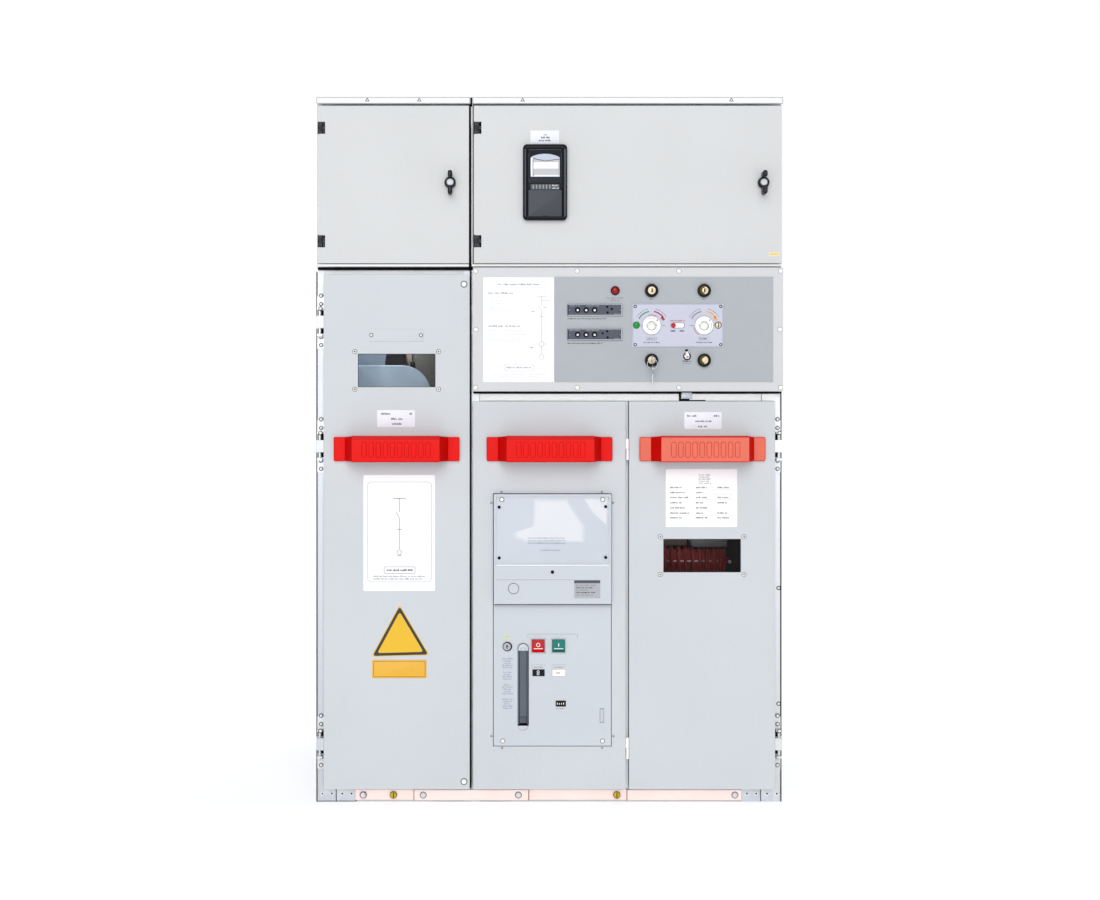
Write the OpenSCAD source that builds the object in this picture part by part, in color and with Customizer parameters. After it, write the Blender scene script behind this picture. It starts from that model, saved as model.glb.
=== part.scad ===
// Medium voltage switchgear: a narrow incoming cabinet and a wide circuit breaker
// cabinet side by side, each with a low voltage box on top.
// Millimetres. X runs to the right, Y to the back, Z up. The origin is on the floor,
// under the middle of the whole switchgear.

/* [Cabinets] */
// Width of the incoming cabinet
incomer_w = 375; // [340:5:500]
// Width of the circuit breaker cabinet
breaker_w = 750; // [700:5:950]
// Height of the switchgear with its low voltage boxes
total_h = 1700; // [1660:5:2100]
// Depth of the steel bodies, from the front posts to the back walls
body_d = 1000; // [700:10:1400]
// Thickness of the cabinet sheets
wall_t = 2.5; // [1.5:0.1:4]
// Width of the front post faces
post_w = 20; // [16:1:26]
// Depth of the lip folded back from each post face
post_lip = 20; // [10:1:40]
// Gap at each end of the rail under the operating panel
rail_clear = 0.1; // [0.05:0.05:0.5]
// Height of the base frames
base_h = 34; // [30:1:60]
// Thickness of the angle steel in the base frames
base_t = 4; // [3:0.5:6]
// Width of the base frames' bottom flanges
base_flange = 50; // [40:1:70]
// Radius of the floor bolt holes
floor_hole_r = 7; // [5:0.5:9]
// Distance of the floor bolt holes from the cabinet's outer faces
floor_hole_inset = 30; // [26:1:36]
// Width of the cable cut-outs in the floor plates
cable_cut_w = 200; // [120:5:220]
// Depth of the cable cut-outs in the floor plates
cable_cut_d = 300; // [150:5:350]

/* [Low voltage boxes] */
// Height of the boxes with their lids
lv_h = 408; // [350:1:500]
// Depth of the boxes
lv_d = 320; // [250:5:420]
// Thickness of the box and door sheets
lv_t = 2; // [1.5:0.1:3]
// Gap between each box and the line where the cabinets meet
lv_side_gap = 3; // [2:0.5:5]
// Height of the shadow gap under the boxes
lv_lift = 5; // [3:0.5:8]
// Width of the rim around each box opening
lv_rim = 15; // [10:1:20]
// Height of the lid's front edge
lid_h = 16; // [12:1:24]
// Depth of the door pans
lv_door_fold = 20; // [15:1:25]
// Space between the door pans and the box rims
lv_door_gap = 6; // [5.5:0.5:8]
// How far the doors stop short of the sides of the boxes
lv_door_inset = 3; // [2:0.5:4]
// Distance of the hinges from the doors' top and bottom
lv_hinge_inset = 53; // [35:1:80]
// Height of a hinge
lv_hinge_h = 27; // [21:1:36]
// Width of a hinge
lv_hinge_w = 17; // [14:1:22]
// Distance of the wing knobs from the doors' free edge
knob_inset = 45; // [42:1:55]
// Length of a knob's wings
knob_wing = 55; // [44:1:64]
// How far the knobs stand out of the doors
knob_proud = 37; // [28:1:40]
// Length of the latch cams behind the knobs
cam_len = 40; // [38:1:44]

/* [Protection relay] */
// Width of the relay's face
relay_w = 106; // [90:1:140]
// Height of the relay's face
relay_h = 182; // [150:1:220]
// Depth of the relay's case behind the door
relay_d = 110; // [60:5:180]
// Distance of the relay's middle from the door's hinge side
relay_in = 171; // [130:1:240]

/* [Doors] */
// Thickness of the door sheets
door_t = 2; // [1.5:0.1:3]
// Depth of the door pans
door_fold = 25; // [20:1:30]
// Space between the door pans and the posts
door_gap = 5.5; // [5.5:0.5:8]
// Half of the gap between neighbouring doors
seam_half = 4; // [4:0.5:6]
// Space between the base frames and the doors
door_lift = 1; // [1:0.5:5]
// Width of a door handle
handle_w = 302; // [250:1:310]
// Height of a handle's feet
handle_h = 58; // [45:1:70]
// How far the handles stand out of the doors
handle_proud = 62; // [50:1:75]
// Thickness of a handle's bar
handle_bar = 12; // [8:0.5:16]
// Distance of the handles' middle below the top of the short doors
handle_drop = 115; // [80:1:150]
// Width of the inspection windows
window_w = 186; // [140:1:220]
// Height of the inspection windows
window_h = 80; // [50:1:100]
// Distance of the incoming window's middle below its door's top
incomer_window_drop = 231; // [150:1:260]
// Distance of the cable window's middle below the handle
cable_window_drop = 256; // [200:1:400]
// Thickness of the window panes
pane_t = 4; // [3:0.5:6]
// Radius of the outer doors' hinge pins
hinge_pin_r = 3; // [2:0.25:4]
// Radial clearance of the hinge pins
pin_clear = 0.08; // [0.05:0.01:0.1]
// Height of a hinge knuckle on the outer doors
knuckle_h = 29; // [22:1:40]

/* [Operating panel] */
// Height of the operating panel
panel_h = 297; // [290:1:360]
// How far the operating panel stands out of the posts
panel_proud = 36; // [30:1:45]
// Distance between the two drives, and between the locks above and below them
drive_pitch = 126; // [110:1:150]
// Distance between the upper and the lower locks
lock_pitch = 167; // [150:1:190]
// Radius of the drive sockets for the operating lever
socket_r = 10.5; // [8:0.25:13]
// Radius of the drive discs
disc_r = 23; // [20:0.5:28]
// Width of the drive plate
drive_plate_w = 218; // [205:1:260]
// Height of the drive plate
drive_plate_h = 104; // [80:1:115]
// Radius of the black lock bezels
bezel_r = 16; // [13:0.5:18]
// Radius of the brass lock cylinders
lock_r = 9; // [7:0.5:10]
// Travel of the selector slide
slide_travel = 17; // [12:1:20]

/* [Circuit breaker] */
// Width of the breaker's front
breaker_front_w = 282; // [260:1:300]
// Gap between the breaker's front and its door
breaker_gap = 6; // [5.5:0.5:10]
// Height of the breaker's underside above the base frame
breaker_lift = 106; // [80:1:140]
// Distance of the breaker's top below the handle's middle
breaker_drop = 108; // [90:1:130]
// Depth of the breaker's mechanism case
breaker_d = 250; // [150:5:400]
// How far the upper cover stands out of the case
cover_proud = 14; // [8:1:20]
// Height of the upper cover
cover_h = 264; // [240:1:290]
// Length of the charging lever
lever_len = 178; // [140:1:190]
// Width of the charging lever
lever_w = 17; // [12:1:20]
// Radius of the charging lever's boss
boss_r = 10; // [8:0.5:11]
// Side of the square push-buttons
button_w = 30; // [24:1:34]
// Travel of the push-buttons
button_travel = 4; // [2:0.5:4]

/* [Hidden] */
$fn = 48;
eps = 0.01;

// Lines across the front, from left to right
x_left = -(incomer_w + breaker_w) / 2;
x_join = x_left + incomer_w;
x_right = -x_left;
x_mid = (x_join + x_right) / 2;

// Levels, from the floor up
z_floor = base_h + wall_t;
z_door = base_h + door_lift;
z_box = total_h - lv_h;
z_shelf = z_box - lv_lift;
incomer_top = z_shelf - 14;
z_panel_top = z_box - 3;
z_panel = z_panel_top - panel_h;
rail_h = 28;
short_top = z_panel - 24;
handle_z = short_top - handle_drop;
incomer_window_z = incomer_top - incomer_window_drop;
cable_window_z = handle_z - cable_window_drop;

// Earth bar: its section and its height over the floor
earth_h = 25;
earth_t = 5;
earth_z = 5;

// Depths, from the handles back
door_front = -(door_gap + door_fold);
handle_reach = handle_proud - door_front;
y_front = handle_reach - (handle_reach + body_d) / 2;
lv_front = -(lv_door_gap + lv_door_fold);

// Handles: feet, the slopes up to the bar, and the bar's extra width each side
foot_w = 27;
foot_t = 8;
handle_slope = 20;
bar_wider = 2.5;
pane_edge = 14;

// Doors: the four sides of each pan
incomer_x = [x_left + post_w, x_join - seam_half];
middle_x = [x_join + seam_half, x_mid - seam_half];
cable_x = [x_mid + seam_half, x_right - post_w];
tall_z = [z_door, incomer_top];
short_z = [z_door, short_top];
lv_door_z = [z_box + 8, total_h - lid_h - 5];
left_box_x = [x_left + 2, x_join - lv_side_gap];
right_box_x = [x_join + lv_side_gap, x_right];
left_door_x = [left_box_x[0] + lv_door_inset, left_box_x[1] - lv_door_inset];
right_door_x = [right_box_x[0] + lv_door_inset, right_box_x[1] - lv_door_inset];
knob_z = (lv_door_z[0] + lv_door_z[1]) / 2 + 4;

// Outer door hinges: pins half way across the posts, near the door's front
hinge_y = door_front + 7.5;
left_hinge_x = x_left + post_w / 2;
right_hinge_x = x_right - post_w / 2;
knuckle_d = 14;
low_hinge_z = z_door + 108.5;
mid_hinge_z = handle_z + 7;
top_hinge_z = incomer_top - 114;
lug_gap = 15;
lug_t = 5;
screw_reach = 34;
lug_x = 6;
knuckle_x = 7;
bracket_x = 8.5;
bracket_t = 3;

// Seam hinges: slim barrels in front of the gap between the two short doors
barrel_r = 3;
seam_pin_r = 1.5;
barrel_len = 25;
seam_y = door_front - barrel_r;
seam_hinge_z = [z_door + 100, handle_z];

// Low voltage door hinges
lv_pin_r = 2.5;
lv_pin_in = 5;
lv_pin_y = lv_front + 5;

// Wing knobs
knob_shaft_r = 9;
knob_shaft_clear = 0.3;
knob_base_r = 14;
knob_neck_r = 11;
wing_r = 5.5;
cam_w = 16;
cam_t = 3;

// Relay
relay_x = right_door_x[0] + relay_in;
relay_proud = 12;
relay_corner = 10;
relay_seat = 6;

// Operating panel
panel_x = [x_join + seam_half, x_right - 2];
fascia_t = 1.5;
plate_t = 2;
fascia_margin = 26;
fascia_x = [panel_x[1] - fascia_margin - 523, panel_x[1] - fascia_margin + 2];
fascia_z = [z_panel + 22, z_panel_top - 23];
fascia_front = -panel_proud - fascia_t;
plate_front = fascia_front - plate_t;
drive_x = panel_x[1] - 253;
drive_z = (z_panel + z_panel_top) / 2 + 9;
drives = [drive_x - drive_pitch / 2, drive_x + drive_pitch / 2];
sleeve_r = socket_r + 3.5;
bezel_proud = 8;
lock_body_r = lock_r + 2;
lock_proud = 2;
keyway_w = 2.6;
keyway_h = 10;
keyway_d = 18;
key_t = 2;
bow_r = 11;
bow_hole_r = 3.5;
ring_r = 12;
lamp_x = drives[0] - 87;
lamp_r = 10.8;
indicator_x = drive_x - 199;
indicator_w = 131;
indicator_h = 27.6;
indicator_z = [drive_z + 37, drive_z - 22];
indicator_t = 4;
toggle_x = drive_x + 22.5;
toggle_z = drive_z - 74;
toggle_ball_r = 4;
toggle_flat = 3;
trunnion_r = 1.5;
toggle_bush_r = 6;
slide_x = drive_x - 11;
slide_r = 5.5;
slide_stem_r = 2;
disc_t = 3;
disc_gap = 0.3;

// Behind the windows
switch_y = 130;
switch_d = 380;
switch_r = 75;
rib_pitch = 17.5;
rib_r = 36;
insulator_r = 27;
insulator_y = 170;
bushing_r = 42;
bushing_y = 300;
partition_shelf_drop = 150;

// Breaker
front_x = (middle_x[0] + middle_x[1]) / 2 + 7;
breaker_x = [front_x - breaker_front_w / 2, front_x + breaker_front_w / 2];
breaker_z = [base_h + breaker_lift, handle_z - breaker_drop];
case_front = door_front + 0.5;
case_t = 3;
cover_front = case_front - cover_proud;
shield_t = 3;
shield_h = 164;
slot_x = front_x - 70;
slot_w = 27;
slot_below = 22;
slot_above = 7;
slot_z = [breaker_z[0] + 40, breaker_z[0] + 40 + slot_below + lever_len + slot_above];
lever_y = case_front + 10;
lever_z = slot_z[0] + slot_below;
lever_pin_r = 3;
button_z = breaker_z[0] + 240;
open_x = front_x - 34;
close_x = front_x + 15;
button_room = 3;
stem_r = 5;

function mid(r) = (r[0] + r[1]) / 2;
function size(r) = r[1] - r[0];
function grown(r, by) = [r[0] - by, r[1] + by];

// A block between two values on each axis
module block(x, y, z) {
    translate([x[0], y[0], z[0]]) cube([size(x), size(y), size(z)]);
}

// A cylinder along Y
module rod_y(x, z, y, r) {
    translate([x, y[0], z]) rotate([-90, 0, 0]) cylinder(r = r, h = size(y));
}

// A cylinder along Z
module rod_z(x, y, z, r) {
    translate([x, y, z[0]]) cylinder(r = r, h = size(z));
}

// A cylinder along X
module rod_x(x, y, z, r) {
    translate([x[0], y, z]) rotate([0, 90, 0]) cylinder(r = r, h = size(x));
}

// A front sheet with its four edges folded back
module pan(x, z, front, depth, t) {
    difference() {
        block(x, [front, front + depth], z);
        block(grown(x, -t), [front + t, front + depth + 1], grown(z, -t));
    }
}

// Everything is drawn with Y = 0 at the post faces and moved to the shared frame here
module placed() {
    translate([0, y_front, 0]) children();
}

// ---- cabinets ----

// A cabinet side: a sheet that steps back behind the low voltage box, with a front post
module side_wall(outer, inward) {
    sheet = inward > 0 ? [outer, outer + wall_t] : [outer - wall_t, outer];
    face = inward > 0 ? [outer, outer + post_w] : [outer - post_w, outer];
    lip = inward > 0 ? [outer + post_w - wall_t, outer + post_w]
                     : [outer - post_w, outer - post_w + wall_t];
    block(sheet, [0, body_d], [0, z_shelf]);
    block(sheet, [lv_d + 2 * wall_t, body_d], [z_shelf - 1, total_h - wall_t]);
    block(face, [0, wall_t], [0, z_shelf]);
    block(lip, [0, post_lip], [z_floor, z_shelf - wall_t]);
}

module incomer_side_walls() color("#e9ebec") placed() {
    side_wall(x_left, 1);
    side_wall(x_join - eps, -1);
}

module breaker_side_walls() color("#e9ebec") placed() {
    side_wall(x_join + eps, 1);
    side_wall(x_right, -1);
}

module back_walls() color("#dfe2e4") placed() {
    for (x = [[x_left, x_join - eps], [x_join + eps, x_right]])
        block(grown(x, -wall_t), [body_d - wall_t, body_d], [0, total_h - wall_t]);
}

module roof_plates() color("#e9ebec") placed() {
    for (x = [[x_left, x_join - 1], [x_join + 1, x_right]])
        block(x, [lv_d + wall_t, body_d], [total_h - wall_t, total_h]);
}

// The shelf under each low voltage box, its front rail and the sheet behind the box
module shelves() color("#eef0f1") placed() {
    for (x = [[x_left, x_join - eps], [x_join + eps, x_right]]) {
        inner = grown(x, -wall_t);
        block(inner, [wall_t, lv_d + 2 * wall_t], [z_shelf - wall_t, z_shelf]);
        block(inner, [lv_d + wall_t, lv_d + 2 * wall_t], [z_shelf - wall_t, total_h - wall_t]);
        block(grown(x, -post_w), [0, wall_t + eps], [z_shelf - 22, z_shelf]);
        for (side = [inner[0] + 12, inner[1] - 42])
            block([side, side + 30], [20, lv_d - 10], [z_shelf - 1, z_box]);
    }
}

// An angle steel frame with a hole for a floor bolt in each corner
module base_frame(x) {
    inner = grown(x, -wall_t);
    y = [wall_t, body_d - wall_t];
    difference() {
        block(inner, y, [0, base_h]);
        block(grown(inner, -base_t), grown(y, -base_t), [base_t, base_h + 1]);
        block(grown(inner, -base_flange), grown(y, -base_flange), [-1, base_h + 1]);
        for (cx = grown(x, -floor_hole_inset), cy = grown([0, body_d], -floor_hole_inset))
            rod_z(cx, cy, [-1, base_t + 1], floor_hole_r);
    }
}

module base_frames() color("#c9cdd0") placed() {
    base_frame([x_left, x_join - eps]);
    base_frame([x_join + eps, x_right]);
}

// A floor plate with a cut-out for the power cables
module floor_plate(x, cut_x) {
    difference() {
        block(grown(x, -wall_t), [wall_t, body_d - wall_t], [base_h, z_floor]);
        block([cut_x - cable_cut_w / 2, cut_x + cable_cut_w / 2],
              [body_d * 0.3, body_d * 0.3 + cable_cut_d], [base_h - 1, z_floor + 1]);
    }
}

module floor_plates() color("#c9cdd0") placed() {
    floor_plate([x_left, x_join - eps], (x_left + x_join) / 2);
    floor_plate([x_join + eps, x_right], mid(cable_x));
}

// Copper bars across the base: two long ones on the frames and two links in front
module earth_bar() color("#d9a59a") placed() {
    z = [earth_z, earth_z + earth_h];
    rear = [wall_t - earth_t, wall_t];
    link = [wall_t - 2 * earth_t, wall_t - earth_t + eps];
    block([x_left + 95, x_join - 92], rear, z);
    block([x_join + 90, x_right - 98], rear, z);
    block([x_join - 140, x_join + 138], link, z);
    block([x_mid, x_right - 98], link, z);
}

// The sheet between the breaker and cable compartments, with its post and a shelf
module center_partition() color("#dfe2e4") placed() {
    top = z_panel - rail_h;
    back = body_d - wall_t;
    block([x_mid - wall_t / 2, x_mid + wall_t / 2], [0, back], [z_floor, top]);
    block([x_mid - post_w, x_mid + post_w], [0, wall_t], [z_floor, top]);
    shelf = top - partition_shelf_drop;
    block([x_mid, x_right - wall_t], [post_lip + 30, back], [shelf, shelf + wall_t]);
}

module panel_rail() color("#f1f2f3") placed() {
    x = [x_join + post_w + rail_clear, x_right - post_w - rail_clear];
    z = [z_panel - rail_h, z_panel];
    difference() {
        block(x, [0, post_lip], z);
        block(grown(x, 1), [wall_t, post_lip + 1], grown(z, -wall_t));
    }
}

module interlock_tongue() color("#3a3d42") placed() {
    x = drive_x + 6;
    z = short_top + 5.5;
    block([x, x + 62], [-10, 0], [z + 7, z + 12]);
    block([x + 4, x + 26], [-10, -1], [z, z + 7.5]);
}

// ---- low voltage boxes ----

module lv_box(x) {
    z = [z_box, total_h - wall_t];
    difference() {
        block(x, [0, lv_d], z);
        block(grown(x, -lv_t), [lv_t, lv_d - lv_t], grown(z, -lv_t));
        block(grown(x, -lv_t - lv_rim), [-1, lv_t + 1], grown(z, -lv_t - lv_rim));
    }
}

module left_lv_box() color("#dfe3e6") placed() lv_box(left_box_x);

module right_lv_box() color("#dfe3e6") placed() lv_box(right_box_x);

module lv_lids() color("#f4f5f5") placed() {
    for (x = [left_box_x, right_box_x]) {
        block(x, [lv_front, lv_d], [total_h - wall_t, total_h]);
        block(x, [lv_front, lv_front + lv_t], [total_h - lid_h, total_h]);
    }
}

function lv_hinge_z() = [lv_door_z[0] + lv_hinge_inset, lv_door_z[1] - lv_hinge_inset];

// The notch that a hinge leaves in the door's edge
module lv_notches(x) {
    reach = lv_hinge_h / 2 + 1;
    for (z = lv_hinge_z())
        block([x[0] - 1, x[0] + lv_hinge_w + 1], [lv_front - 1, 0], [z - reach, z + reach]);
}

// The fixed half: a back plate on the box rim, two lugs and the pin between them
module lv_hinge_block(x, z) {
    half = lv_hinge_h / 2;
    third = lv_hinge_h / 6;
    body_x = [x[0], x[0] + lv_hinge_w - 6];
    block(body_x, [-4, 0], [z - half, z + half]);
    for (side = [[z - half, z - third], [z + third, z + half]])
        block(body_x, [lv_front - 1, 0], side);
    rod_z(x[0] + lv_pin_in, lv_pin_y, [z - half + 1, z + half - 1], lv_pin_r);
}

module lv_hinge_blocks() color("#2b2c30") placed() {
    for (x = [left_door_x, right_door_x], z = lv_hinge_z()) lv_hinge_block(x, z);
}

// The moving half: the middle knuckle and its arm to the edge of the notch
module lv_knuckles(x) {
    third = lv_hinge_h / 6;
    for (z = lv_hinge_z())
        difference() {
            union() {
                rod_z(x[0] + lv_pin_in, lv_pin_y, [z - third + 0.3, z + third - 0.3], lv_pin_in);
                block([x[0] + lv_pin_in, x[0] + lv_hinge_w + 1], [lv_front - 1, lv_pin_y],
                      [z - third + 0.3, z + third - 0.3]);
            }
            rod_z(x[0] + lv_pin_in, lv_pin_y, [z - lv_hinge_h, z + lv_hinge_h], lv_pin_r + pin_clear);
        }
}

module left_lv_knuckles() color("#2b2c30") placed() lv_knuckles(left_door_x);

module right_lv_knuckles() color("#2b2c30") placed() lv_knuckles(right_door_x);

function knob_x(x) = x[1] - knob_inset;

module knob_hole(x) {
    rod_y(knob_x(x), knob_z, [lv_front - 1, lv_front + lv_t + 1], knob_shaft_r + knob_shaft_clear);
}

module left_lv_door() color("#dfe2e5") placed() {
    difference() {
        pan(left_door_x, lv_door_z, lv_front, lv_door_fold, lv_t);
        lv_notches(left_door_x);
        knob_hole(left_door_x);
    }
}

module right_lv_door() color("#dfe2e5") placed() {
    cut = relay_seat - 1;
    difference() {
        pan(right_door_x, lv_door_z, lv_front, lv_door_fold, lv_t);
        lv_notches(right_door_x);
        knob_hole(right_door_x);
        block([relay_x - relay_w / 2 + cut, relay_x + relay_w / 2 - cut],
              [lv_front - 1, lv_front + lv_t + 1],
              [knob_z - relay_h / 2 + cut, knob_z + relay_h / 2 - cut]);
    }
}

// A wing knob on its shaft, with the latch cam behind the door pointing down
module lv_knob(x) {
    cx = knob_x(x);
    wing = knob_wing / 2 - wing_r;
    wing_y = [lv_front - knob_proud, lv_front - 8];
    rod_y(cx, knob_z, [wing_y[1] - 1, lv_front - 0.3], knob_base_r);
    rod_y(cx, knob_z, [wing_y[0] + 6, wing_y[1]], knob_neck_r);
    rod_y(cx, knob_z, [wing_y[1], 10], knob_shaft_r);
    block([cx - wing_r, cx + wing_r], wing_y, [knob_z - wing, knob_z + wing]);
    for (side = [-wing, wing]) rod_y(cx, knob_z + side, wing_y, wing_r);
    block([cx - cam_w / 2, cx + cam_w / 2], [lv_t + 5.5, lv_t + 5.5 + cam_t],
          [knob_z - cam_len, knob_z]);
}

module left_lv_knob() color("#232427") placed() lv_knob(left_door_x);

module right_lv_knob() color("#232427") placed() lv_knob(right_door_x);

// The relay: a face plate with a window and a keypad recess, and its case behind the door
module relay_case() color("#4a4d57") placed() {
    front = lv_front - relay_proud;
    half_w = relay_w / 2;
    half_h = relay_h / 2;
    difference() {
        union() {
            translate([relay_x, front, knob_z]) rotate([-90, 0, 0]) linear_extrude(relay_proud)
                rounded_rectangle(relay_w, relay_h, relay_corner);
            block([relay_x - half_w + relay_seat, relay_x + half_w - relay_seat],
                  [lv_front - 1, lv_front + relay_d],
                  [knob_z - half_h + relay_seat, knob_z + half_h - relay_seat]);
        }
        block([relay_x - half_w + 17, relay_x + half_w - 17], [front - 1, front + 3],
              [knob_z + 12, knob_z + half_h - 23]);
        block([relay_x - half_w + 15, relay_x + half_w - 15], [front - 1, front + 1.5],
              [knob_z - half_h + 7, knob_z - 22]);
    }
}

// A rectangle with round corners, drawn from squares and circles
module rounded_rectangle(w, h, r) {
    square([w - 2 * r, h], center = true);
    square([w, h - 2 * r], center = true);
    for (x = [-1, 1], y = [-1, 1])
        translate([x * (w / 2 - r), y * (h / 2 - r)]) circle(r = r);
}

// ---- operating panel ----

// What passes through the operating panel and its fascia
module panel_holes(y) {
    for (x = drives) {
        rod_y(x, drive_z, y, sleeve_r + 0.6);
        for (z = [drive_z - lock_pitch / 2, drive_z + lock_pitch / 2])
            rod_y(x, z, y, lock_body_r + 0.2);
    }
    rod_y(toggle_x, toggle_z, y, toggle_bush_r + 0.1);
    block([slide_x - slide_stem_r - 1, slide_x + slide_travel + slide_stem_r + 1], y,
          [drive_z - slide_stem_r - 1, drive_z + slide_stem_r + 1]);
}

module operating_panel() color("#e2e5e8") placed() {
    difference() {
        block(panel_x, [-panel_proud, -panel_proud + door_t], [z_panel, z_panel_top]);
        panel_holes([-panel_proud - 1, -panel_proud + door_t + 1]);
    }
}

// The frame that carries the panel: four strips on edge behind its rim
module panel_frame() color("#e2e5e8") placed() {
    z = [z_panel, z_panel_top];
    difference() {
        block(panel_x, [-panel_proud + door_t, 0], z);
        block(grown(panel_x, -door_t), [-panel_proud + door_t - 1, 1], grown(z, -door_t));
    }
}

module fascia() color("#b9bec6") placed() {
    difference() {
        block(fascia_x, [fascia_front, -panel_proud], fascia_z);
        panel_holes([fascia_front - 1, -panel_proud + 1]);
    }
}

module drive_plate() color("#d9daea") placed() {
    difference() {
        block([drive_x - drive_plate_w / 2, drive_x + drive_plate_w / 2],
              [plate_front, fascia_front], [drive_z - drive_plate_h / 2, drive_z + drive_plate_h / 2]);
        panel_holes([plate_front - 1, fascia_front + 1]);
    }
}

// A drive disc on a sleeve, with a round socket for the operating lever
module drive(x) {
    difference() {
        union() {
            rod_y(x, drive_z, [plate_front - disc_gap - disc_t, plate_front - disc_gap], disc_r);
            rod_y(x, drive_z, [plate_front - 1, -2], sleeve_r);
        }
        rod_y(x, drive_z, [plate_front - disc_gap - disc_t - 1, -1], socket_r);
    }
}

module line_drive() color("#f4f4f2") placed() drive(drives[0]);

module earth_drive() color("#f4f4f2") placed() drive(drives[1]);

module selector_slide() color("#d42a22") placed() {
    behind = -panel_proud + door_t + disc_gap;
    rod_y(slide_x, drive_z, [plate_front - disc_gap - 2 * disc_t, plate_front - disc_gap], slide_r);
    rod_y(slide_x, drive_z, [plate_front - 1, behind + 1], slide_stem_r);
    rod_y(slide_x, drive_z, [behind, behind + disc_t], slide_r);
}

module at_locks() {
    for (x = drives, z = [drive_z - lock_pitch / 2, drive_z + lock_pitch / 2])
        translate([x, 0, z]) children();
}

module lock_bezels() color("#1d1e20") placed() at_locks() {
    difference() {
        union() {
            rod_y(0, 0, [fascia_front - bezel_proud, fascia_front], bezel_r);
            rod_y(0, 0, [fascia_front - 1, -6], lock_body_r);
        }
        rod_y(0, 0, [fascia_front - bezel_proud - 1, -5], lock_r + 0.1);
    }
}

module lock_cylinders() color("#caa75a") placed() at_locks() {
    y = [fascia_front - bezel_proud - lock_proud, -7];
    difference() {
        rod_y(0, 0, y, lock_r);
        block([-keyway_w / 2, keyway_w / 2], [y[0] - 1, y[0] + keyway_d], [-keyway_h / 2, keyway_h / 2]);
    }
}

// A flat key in the Y-Z plane: a round bow with a hole, and a blade
module key(blade) {
    difference() {
        union() {
            rod_x([-key_t / 2, key_t / 2], 0, 0, bow_r);
            block([-key_t / 2, key_t / 2], [-bow_hole_r, bow_hole_r], [-bow_r - blade, 0]);
        }
        rod_x([-key_t, key_t], 0, 0, bow_hole_r);
    }
}

// A key in the lower left lock, a ring through its bow and a second key on the ring
module hanging_keys() color("#c8cacc") placed() {
    y = fascia_front - bezel_proud - lock_proud - bow_r - 3;
    z = drive_z - lock_pitch / 2;
    translate([drives[0], y, z]) {
        rotate([90, 0, 0]) key(13);
        translate([0, 0, -ring_r + 1.8]) rotate([90, 0, 0])
            rotate_extrude() translate([ring_r, 0]) circle(r = key_t / 2, $fn = 16);
        translate([0, 0, -2 * ring_r + 1.2]) key(26);
    }
}

module pilot_lamp() color("#b3161b") placed() {
    rod_y(lamp_x, drive_z + lock_pitch / 2, [fascia_front - 4, fascia_front], lamp_r);
    translate([lamp_x, fascia_front - 3, drive_z + lock_pitch / 2]) rotate([90, 0, 0])
        scale([1, 1, 0.6]) difference() {
            sphere(r = lamp_r - 2);
            translate([-20, -20, -40]) cube(40);
        }
}

module voltage_indicators() color("#555a68") placed() {
    for (z = indicator_z) {
        block([indicator_x - indicator_w / 2, indicator_x + indicator_w / 2],
              [fascia_front - indicator_t, fascia_front], [z - indicator_h / 2, z + indicator_h / 2]);
        for (k = [0:2])
            rod_y(indicator_x - 41 + 20.4 * k, z, [fascia_front - indicator_t - 3, fascia_front - 1], 5.5);
    }
}

module toggle_bush() color("#9b9ea3") placed() {
    difference() {
        union() {
            rod_y(toggle_x, toggle_z, [fascia_front - 3, -panel_proud + 6], toggle_bush_r);
            rod_y(toggle_x, toggle_z, [-panel_proud + door_t, -panel_proud + door_t + 14], toggle_bush_r + 4);
        }
        rod_y(toggle_x, toggle_z, [fascia_front - 4, -panel_proud + 8], toggle_ball_r + disc_gap);
    }
}

// A bat lever, tilted up, on a ball with two flats and a trunnion on each
module toggle_lever() color("#e8e8e6") placed() {
    translate([toggle_x, fascia_front, toggle_z]) {
        intersection() {
            sphere(r = toggle_ball_r);
            cube([2 * toggle_flat, 3 * toggle_ball_r, 3 * toggle_ball_r], center = true);
        }
        rod_x([-toggle_ball_r + disc_gap / 2, toggle_ball_r - disc_gap / 2], 0, 0, trunnion_r);
        rotate([90 - 12, 0, 0]) cylinder(r1 = 1.6, r2 = 2.6, h = 17);
    }
}

// ---- doors ----

// A bridge handle: two flat feet and a bar standing out between them
module handle(x) {
    half = handle_w / 2;
    outer = half - foot_w;
    bar = outer - handle_slope;
    back = handle_proud - handle_bar;
    translate([x, door_front, handle_z]) {
        for (foot = [[-half, -outer + 4], [outer - 4, half]])
            block(foot, [-foot_t, 0], [-handle_h / 2, handle_h / 2]);
        translate([0, 0, -handle_h / 2 - bar_wider]) linear_extrude(handle_h + 2 * bar_wider)
            polygon([[-outer, -foot_t], [-bar, -handle_proud], [bar, -handle_proud], [outer, -foot_t],
                     [outer, 0], [outer - handle_bar, 0], [bar - handle_bar * 0.7, -back],
                     [-bar + handle_bar * 0.7, -back], [-outer + handle_bar, 0], [-outer, 0]]);
    }
}

module incomer_handle() color("#e2231c") placed() handle(mid(incomer_x));

module breaker_handle() color("#e2231c") placed() handle(mid(middle_x));

module cable_handle() color("#e2231c") placed() handle(mid(cable_x));

// The hole of an inspection window in a door sheet
module window_hole(x, z) {
    block([x - window_w / 2, x + window_w / 2], [door_front - 1, door_front + door_t + 1],
          [z - window_h / 2, z + window_h / 2]);
}

// A clear pane screwed behind the door sheet
module pane(x, z) {
    half_w = window_w / 2 + pane_edge;
    half_h = window_h / 2 + pane_edge;
    block([x - half_w, x + half_w], [door_front + door_t, door_front + door_t + pane_t],
          [z - half_h, z + half_h]);
}

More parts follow.
